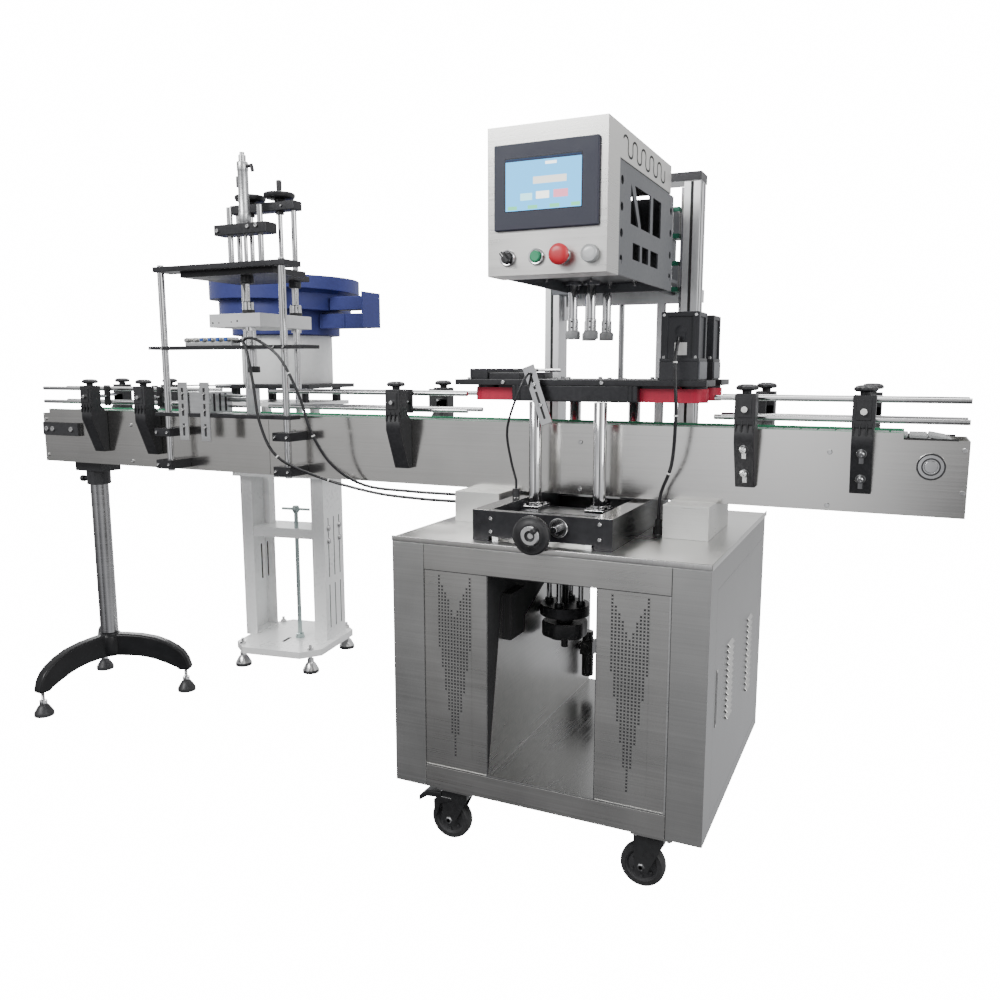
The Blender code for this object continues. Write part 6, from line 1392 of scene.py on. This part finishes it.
# Near-black strips on the sensor plates and the stop box: painted shade in their slots and grooves.
gaps = []
for x0 in (-0.648, -0.565):
    silver.append(block("sensor_plate", (x0, -0.076, 0.912), (x0 + 0.034, -0.0712, 1.082), 0.0008))
    silver.append(block("sensor_foot", (x0, -0.0725, 1.070), (x0 + 0.034, 0.020, 1.074), 0.0006))
    for z in (0.926, 0.984, 1.030):
        gaps.append(block("slot", (x0 + 0.013, -0.0764, z), (x0 + 0.021, -0.0756, z + 0.036), 0))
    steel += [cap_screw(x0 + 0.017, z, -0.076, 0.0046) for z in (0.953, 1.002, 1.050)]
for i in range(4):
    gaps.append(block("groove", (-0.5512, -0.060 + 0.024 * i, 0.997), (-0.5506, -0.052 + 0.024 * i, 1.049),
                      0))
settle(joined(silver), "station_brackets", "machine", [BLOCK_ALUMINIUM])
settle(joined(gaps), "station_slots", "machine", [PAINTED_SHADE_AND_BLACK])

TUBE_BLUE = finish("blue_release_ring", (0.03, 0.10, 0.42), 0.35, vary=0.10)
SILVER_FITTING = finish("nickel_fitting", (0.62, 0.62, 0.60), 0.22, 1.0, vary=0.06)
fittings, blues = [], []
for i in range(6):
    x = -0.607 + 0.030 * i
    fittings.append(block("valve", (x - 0.010, -0.062, 1.1965), (x + 0.010, -0.032, 1.2095), 0.0016))
    fittings.append(turned([(0.0, 0.0), (0.0050, 0.0), (0.0060, 0.001), (0.0060, 0.012), (0.0045, 0.014),
                            (0.0, 0.014)],
                           (x, -0.060, 1.2035), "Y", 24, 30))
    if i > 1:
        blues.append(turned([(0.0, 0.0), (0.0052, 0.0), (0.0052, 0.0042), (0.0044, 0.0050), (0.0, 0.0050)],
                            (x, -0.0735, 1.2035), "Y", 24, 30))
for x in (-0.636, -0.628):
    fittings.append(bar((x, -0.047, 1.203), (x + 0.030, -0.047, 1.203), 0.0062, 24))
settle(joined(fittings), "valve_fittings", "machine", [SILVER_FITTING])
settle(joined(blues), "valve_release_rings", "machine", [TUBE_BLUE])

deck = [block("deck_a", (-0.732, -0.065, 1.400), (-0.251, 0.007, 1.415), 0.0012),
        outline_plate("xy", [(-0.660, -0.030), (-0.320, -0.030), (-0.320, 0.118), (-0.395, 0.150),
                             (-0.395, 0.235),
                             (-0.660, 0.235)], 1.3846, 1.4008, 0.0012),
        block("clamp_block", (-0.550, -0.002, 1.500), (-0.360, 0.046, 1.530), 0.0025),
        block("bridge", (-0.561, 0.080, 1.572), (-0.326, 0.120, 1.598), 0.0030)]
for x, y in ((-0.455, 0.022), (-0.424, 0.200)):
    deck.append(turned([(0.0105, 1.385), (0.0185, 1.385), (0.0185, 1.367), (0.0160, 1.364), (0.0105, 1.364),
                        (0.0105, 1.385)],
                       (x, y, 0), "Z", 40))
for x in (-0.498, -0.391):
    deck.append(turned([(0.0073, 1.572), (0.0120, 1.572), (0.0120, 1.564), (0.0073, 1.564), (0.0073, 1.572)],
                       (x, 0.100, 0), "Z", 32))
settle(joined(deck), "station_decks", "machine", [ANODISED], ("station_deck",))
upper = [bar((x, 0.022, 1.4145), (x, 0.022, 1.580), 0.0085, 36) for x in (-0.510, -0.400)]
upper += [bar((-0.545, 0.100, 1.4005), (-0.545, 0.100, 1.573), 0.008, 36),
          bar((-0.342, 0.100, 1.4005), (-0.342, 0.100, 1.573), 0.008, 36)]
steel += [cap_screw(x, z, -0.002, 0.0056) for x, z in ((-0.536, 1.513), (-0.425, 1.519), (-0.395, 1.520))]
steel += [cap_screw(x, z, 0.080, 0.0036) for x, z in ((-0.520, 1.585), (-0.370, 1.585))]
settle(joined(upper), "station_upper_rods", "machine", [CHROME])
settle(joined(steel), "station_screws", "machine", [SCREW_STEEL])

# Cylinder: a round aluminium barrel with turned end caps, an elbow fitting and a switch strapped to its side.
barrel = turned([(0.0, 1.7268), (0.0070, 1.7268), (0.0070, 1.7190), (0.0095, 1.7190), (0.0105, 1.7180),
                 (0.0105, 1.7010),
                 (0.0152, 1.7000), (0.0160, 1.6985), (0.0160, 1.6770), (0.0155, 1.6755), (0.0150, 1.6740),
                 (0.0150, 1.5630), (0.0155, 1.5615), (0.0160, 1.5600), (0.0160, 1.5350), (0.0150, 1.5335),
                 (0.0150, 1.5303), (0.0063, 1.5303), (0.0063, 1.5500), (0.0, 1.5500)], (-0.455, 0.022, 0),
                 "Z", 56)
settle(barrel, "cylinder_barrel", "machine", [BLOCK_ALUMINIUM], ("station_cylinder",))
elbow = joined([bar((-0.440, 0.022, 1.688), (-0.424, 0.022, 1.688), 0.0048, 20),
                bar((-0.424, 0.022, 1.692), (-0.419, 0.022, 1.672), 0.0052, 20),
                block("switch", (-0.4745, 0.014, 1.632), (-0.4685, 0.030, 1.662), 0.0010)])
settle(elbow, "cylinder_elbow", "machine", [BLACK_NYLON])

# Adjusting wheels: moulded dished handwheels on plain screws; the right one has a knurled grip on its hub.
WHEELS_Y = 0.100
wheel_xs = {"left": -0.498, "right": -0.391}
for label, x in wheel_xs.items():
    rim = turned([(0.0, 1.6280), (0.0080, 1.6280), (0.0105, 1.6265), (0.0120, 1.6190), (0.0260, 1.6150),
                  (0.0355, 1.6165),
                  (0.0395, 1.6215), (0.0430, 1.6228), (0.0450, 1.6205), (0.0450, 1.6150), (0.0420, 1.6095),
                  (0.0340, 1.6065), (0.0160, 1.6050), (0.0140, 1.5990), (0.0080, 1.5986), (0.0, 1.5986)],
                 (x, WHEELS_Y, 0), "Z", 64)
    settle(rim, "adjusting_wheel_" + label, "wheel_" + label, [BLACK_NYLON],
           ("station_wheel_" + label,))
    thread = turned([(0.0, 1.5990), (0.0068, 1.5990), (0.0068, 1.4015), (0.0, 1.4015)], (x, WHEELS_Y, 0), "Z",
                    28)
    settle(thread, "adjusting_screw_" + label, "wheel_" + label, [CHROME])
grip = turned([(0.0, 1.6600), (0.0060, 1.6600), (0.0075, 1.6585), (0.0080, 1.6550), (0.0078, 1.6400),
               (0.0070, 1.6270),
               (0.0, 1.6270)], (wheel_xs["right"], WHEELS_Y, 0), "Z", 72)
for point in grip.data.vertices:
    if 1.630 < point.co.z < 1.657:
        round_hub = math.atan2(point.co.y - WHEELS_Y, point.co.x - wheel_xs["right"])
        factor = 1 + 0.03 * math.cos(18 * round_hub)
        point.co.x = wheel_xs["right"] + (point.co.x - wheel_xs["right"]) * factor
        point.co.y = WHEELS_Y + (point.co.y - WHEELS_Y) * factor
settle(grip, "adjusting_grip", "wheel_right", [HUB])

# Placing block: white anodised, with chromed guide bushes and a rubber-tipped press rod.
WHITE_BLOCK = finish("white_machined", (0.66, 0.665, 0.67), 0.38, 0.15, vary=0.04, size=(6, 120, 120),
                     bump=0.02)
white_body = block("body", (-0.590, 0.005, 1.241), (-0.400, 0.245, 1.280), 0.0012)
settle(white_body, "placing_block_body", "block", [WHITE_BLOCK], ("placing_block",))
post_place, rod_place = (-0.424, 0.200, 0), (-0.455, 0.022, 0)
bushes = [turned([(0.0103, 1.313), (0.016, 1.313), (0.018, 1.311), (0.018, 1.2895), (0.0103, 1.2895),
                  (0.0103, 1.313)], post_place, "Z", 44),
          turned([(0.0103, 1.2405), (0.0150, 1.2405), (0.0150, 1.2300), (0.0103, 1.2300), (0.0103, 1.2405)],
                 post_place, "Z", 40),
          turned([(0.0, 1.313), (0.0145, 1.313), (0.0165, 1.311), (0.0165, 1.2895), (0.0, 1.2895)],
                 rod_place, "Z", 44),
          turned([(0.0, 1.2415), (0.0140, 1.2415), (0.0140, 1.2300), (0.0, 1.2300)], rod_place, "Z", 40)]
bushes += [bar((-0.455, 0.022, 1.312), (-0.455, 0.022, 1.599), 0.0058, 28),
           bar((-0.455, 0.035, 1.127), (-0.455, 0.035, 1.242), 0.010, 32)]
settle(joined(bushes), "placing_bushes", "block", [CHROME])
darks = [turned([(0.0, 1.1280), (0.0168, 1.1280), (0.0180, 1.1265), (0.0180, 1.1115), (0.0170, 1.1100),
                 (0.0, 1.1100)],
                (-0.455, 0.035, 0), "Z", 44),
         turned([(0.0104, 1.2896), (0.0192, 1.2896), (0.0192, 1.2800), (0.0104, 1.2800), (0.0104, 1.2896)],
                post_place, "Z", 44),
         turned([(0.0, 1.2896), (0.0180, 1.2896), (0.0180, 1.2800), (0.0, 1.2800)], rod_place, "Z", 44)]
settle(joined(darks), "placing_rings", "block", [BLACK_NYLON])
# Near-black discs on the block's face: painted shade in its holes.
holes = [turned([(0.0, 0.0003), (r, 0.0003), (r, -0.001), (0.0, -0.001)], (x, 0.005, z), "Y", 20, 30)
         for x, z, r in ((-0.576, 1.254, 0.0030), (-0.553, 1.254, 0.0022), (-0.506, 1.256, 0.0022),
                         (-0.484, 1.258, 0.0030))]
settle(joined(holes), "placing_block_holes", "block", [PAINTED_SHADE_AND_BLACK])


# Feeder stand.
# White enamelled steel: two slotted channels on a chamfered foot plate, a lifting cross bar between them and a
# bright screw with a T handle that raises the platform.
WHITE_ENAMEL = finish("white_enamel", (0.86, 0.865, 0.86), 0.32, vary=0.04, size=(70, 70, 70), bump=0.03,
                      coat=0.25)
stand = dressed("stand_frame", [WHITE_ENAMEL, BLACK_NYLON, SCREW_STEEL], 0.0012, (), 35)
for face in stand.data.polygons:
    centre = face.center - LINE
    if centre.z < 0.022:
        face.material_index = 1
    elif centre.z < 0.0598:
        face.material_index = 2
dressed("stand_platform", [WHITE_ENAMEL], 0.0012)
STAND_TURN = math.radians(8.5)
stand_frame_place = Matrix.Translation((-0.8225, 0.646, 0)) @ Matrix.Rotation(STAND_TURN, 4, "Z")


def on_stand(piece):
    only(piece)
    bpy.ops.object.transform_apply(location=True, rotation=True, scale=True)
    piece.data.transform(stand_frame_place)
    return piece


# The channels' slots are near-black strips: painted shade, not cut.
stand_slots, stand_bolts = [], []
for y in (-0.004, 0.040, 0.084):
    for z0, z1 in ((0.330, 0.560), (0.130, 0.300)):
        stand_slots.append(on_stand(block("slot", (0.1548, y - 0.0024, z0), (0.1554, y + 0.0024, z1), 0)))
for y in (0.018, 0.062):
    stand_slots.append(on_stand(block("slot", (-0.1504, y - 0.004, 0.300), (-0.1496, y + 0.004, 0.440), 0)))
stand_slots.append(on_stand(block("slot", (-0.012, -0.090, 0.0846), (0.000, -0.035, 0.0854), 0)))
for y in (-0.004, 0.084):
    for z in (0.470, 0.520):
        stand_bolts.append(on_stand(turned([(0.0, 0.0065), (0.0075, 0.0065), (0.0085, 0.0050),
                                            (0.0085, 0.0020),
                                            (0.0130, 0.0020), (0.0130, 0.0), (0.0, 0.0)], (0.1552, y, z), "X",
                                            24, 30)))
for sx in (-1, 1):
    for sy in (-1, 1):
        stand_bolts.append(on_stand(turned([(0.0, 0.1060), (0.0058, 0.1060), (0.0058, 0.0935),
                                            (0.0115, 0.0935),
                                            (0.0115, 0.0850), (0.0, 0.0850)], (0.143 * sx, 0.1495 * sy, 0),
                                            "Z", 20, 30)))
settle(joined(stand_slots), "stand_slots", "machine", [PAINTED_SHADE_AND_BLACK])
settle(joined(stand_bolts), "stand_bolts", "machine", [SCREW_STEEL])
ZINC = finish("zinc_screw", (0.42, 0.50, 0.49), 0.28, 0.95, vary=0.10, size=(4, 4, 600), bump=0.10)
spindle = [(0.0, 0.604), (0.0105, 0.604), (0.0135, 0.598), (0.0135, 0.584), (0.0105, 0.578), (0.0080, 0.575),
           (0.0080, 0.102), (0.0150, 0.101), (0.0150, 0.090), (0.0180, 0.0885),
           (0.0180, 0.0853), (0.0, 0.0853)]
lift = [on_stand(turned(spindle, (0.028, -0.018, 0), "Z", 32)),
        on_stand(bar((-0.030, -0.018, 0.591), (0.086, -0.018, 0.591), 0.0052, 24))]
settle(joined(lift), "lift_screw_shaft", "lift_screw", [ZINC], ("height_screw",))


# Bowl feeder.
# The base plate stands on rubber feet; a white drum covers the drive, and the blue enamelled bowl has a
# spiral track that climbs to the chute at its rim.
BOWL_PLACE = (-0.815, 0.646, 0)
FEEDER_BLUE = finish("blue_enamel", (0.042, 0.053, 0.205), 0.42, vary=0.08, size=(60, 60, 60), bump=0.03,
                     shine=0.22)
dressed("feeder_base", [ANODISED], 0.0012)
drum = turned([(0.0, 1.2398), (0.160, 1.2398), (0.164, 1.2380), (0.165, 1.2340), (0.165, 1.0700),
               (0.163, 1.0660),
               (0.160, 1.0654), (0.0, 1.0654)], BOWL_PLACE, "Z", 96)
settle(drum, "feeder_drum_cover", "feeder", [WHITE_ENAMEL], ("feeder_drum",))
bowl_profile = [(0.0, 1.270), (0.098, 1.252), (0.190, 1.246), (0.190, 1.320), (0.233, 1.320), (0.233, 1.380),
                (0.265, 1.380), (0.265, 1.4385), (0.2675, 1.440), (0.270, 1.4385), (0.270, 1.3765),
                (0.2690, 1.3752),
                (0.2375, 1.3748), (0.2380, 1.3735), (0.2380, 1.3165), (0.2370, 1.3152), (0.1955, 1.3148),
                (0.1950, 1.3135), (0.1950, 1.2420), (0.1935, 1.2404), (0.0, 1.2404)]
bowl = turned(bowl_profile, (0, 0, 0), "Z", 160, 35)
for point in bowl.data.vertices:
    out = math.hypot(point.co.x, point.co.y)
    climb = (math.atan2(point.co.y, point.co.x) / (2 * math.pi) + 1.15) % 1.0
    if 0.236 < out and 1.37 < point.co.z < 1.39:
        point.co.z += 0.022 - 0.040 * climb
    elif 0.194 < out < 0.2385 and 1.31 < point.co.z < 1.33:
        point.co.z += 0.012 - 0.034 * climb
bowl.data.transform(Matrix.Translation(BOWL_PLACE))
settle(bowl, "bowl_shell", "feeder", [FEEDER_BLUE], ("feeder_bowl",))
outlet_x0, outlet_x1 = -0.575, -0.410
track_end = outlet_x1 - 0.004
track = [block("box", (outlet_x0, 0.586, 1.3250), (track_end, 0.6555, 1.3710), 0.0020),
         block("floor", (-0.616, 0.5862, 1.2622), (track_end, 0.6558, 1.2660), 0.0008),
         block("side", (-0.620, 0.586, 1.2620), (track_end, 0.590, 1.3120), 0.0008),
         block("side", (-0.616, 0.652, 1.2620), (track_end, 0.6555, 1.3120), 0.0008),
         block("rib", (-0.520, 0.583, 1.2640), (-0.512, 0.587, 1.3110), 0.0006),
         block("plate", (outlet_x1 - 0.006, 0.546, 1.2620), (outlet_x1, 0.656, 1.3820), 0.0008)]
settle(joined(track), "bowl_outlet", "feeder", [FEEDER_BLUE])
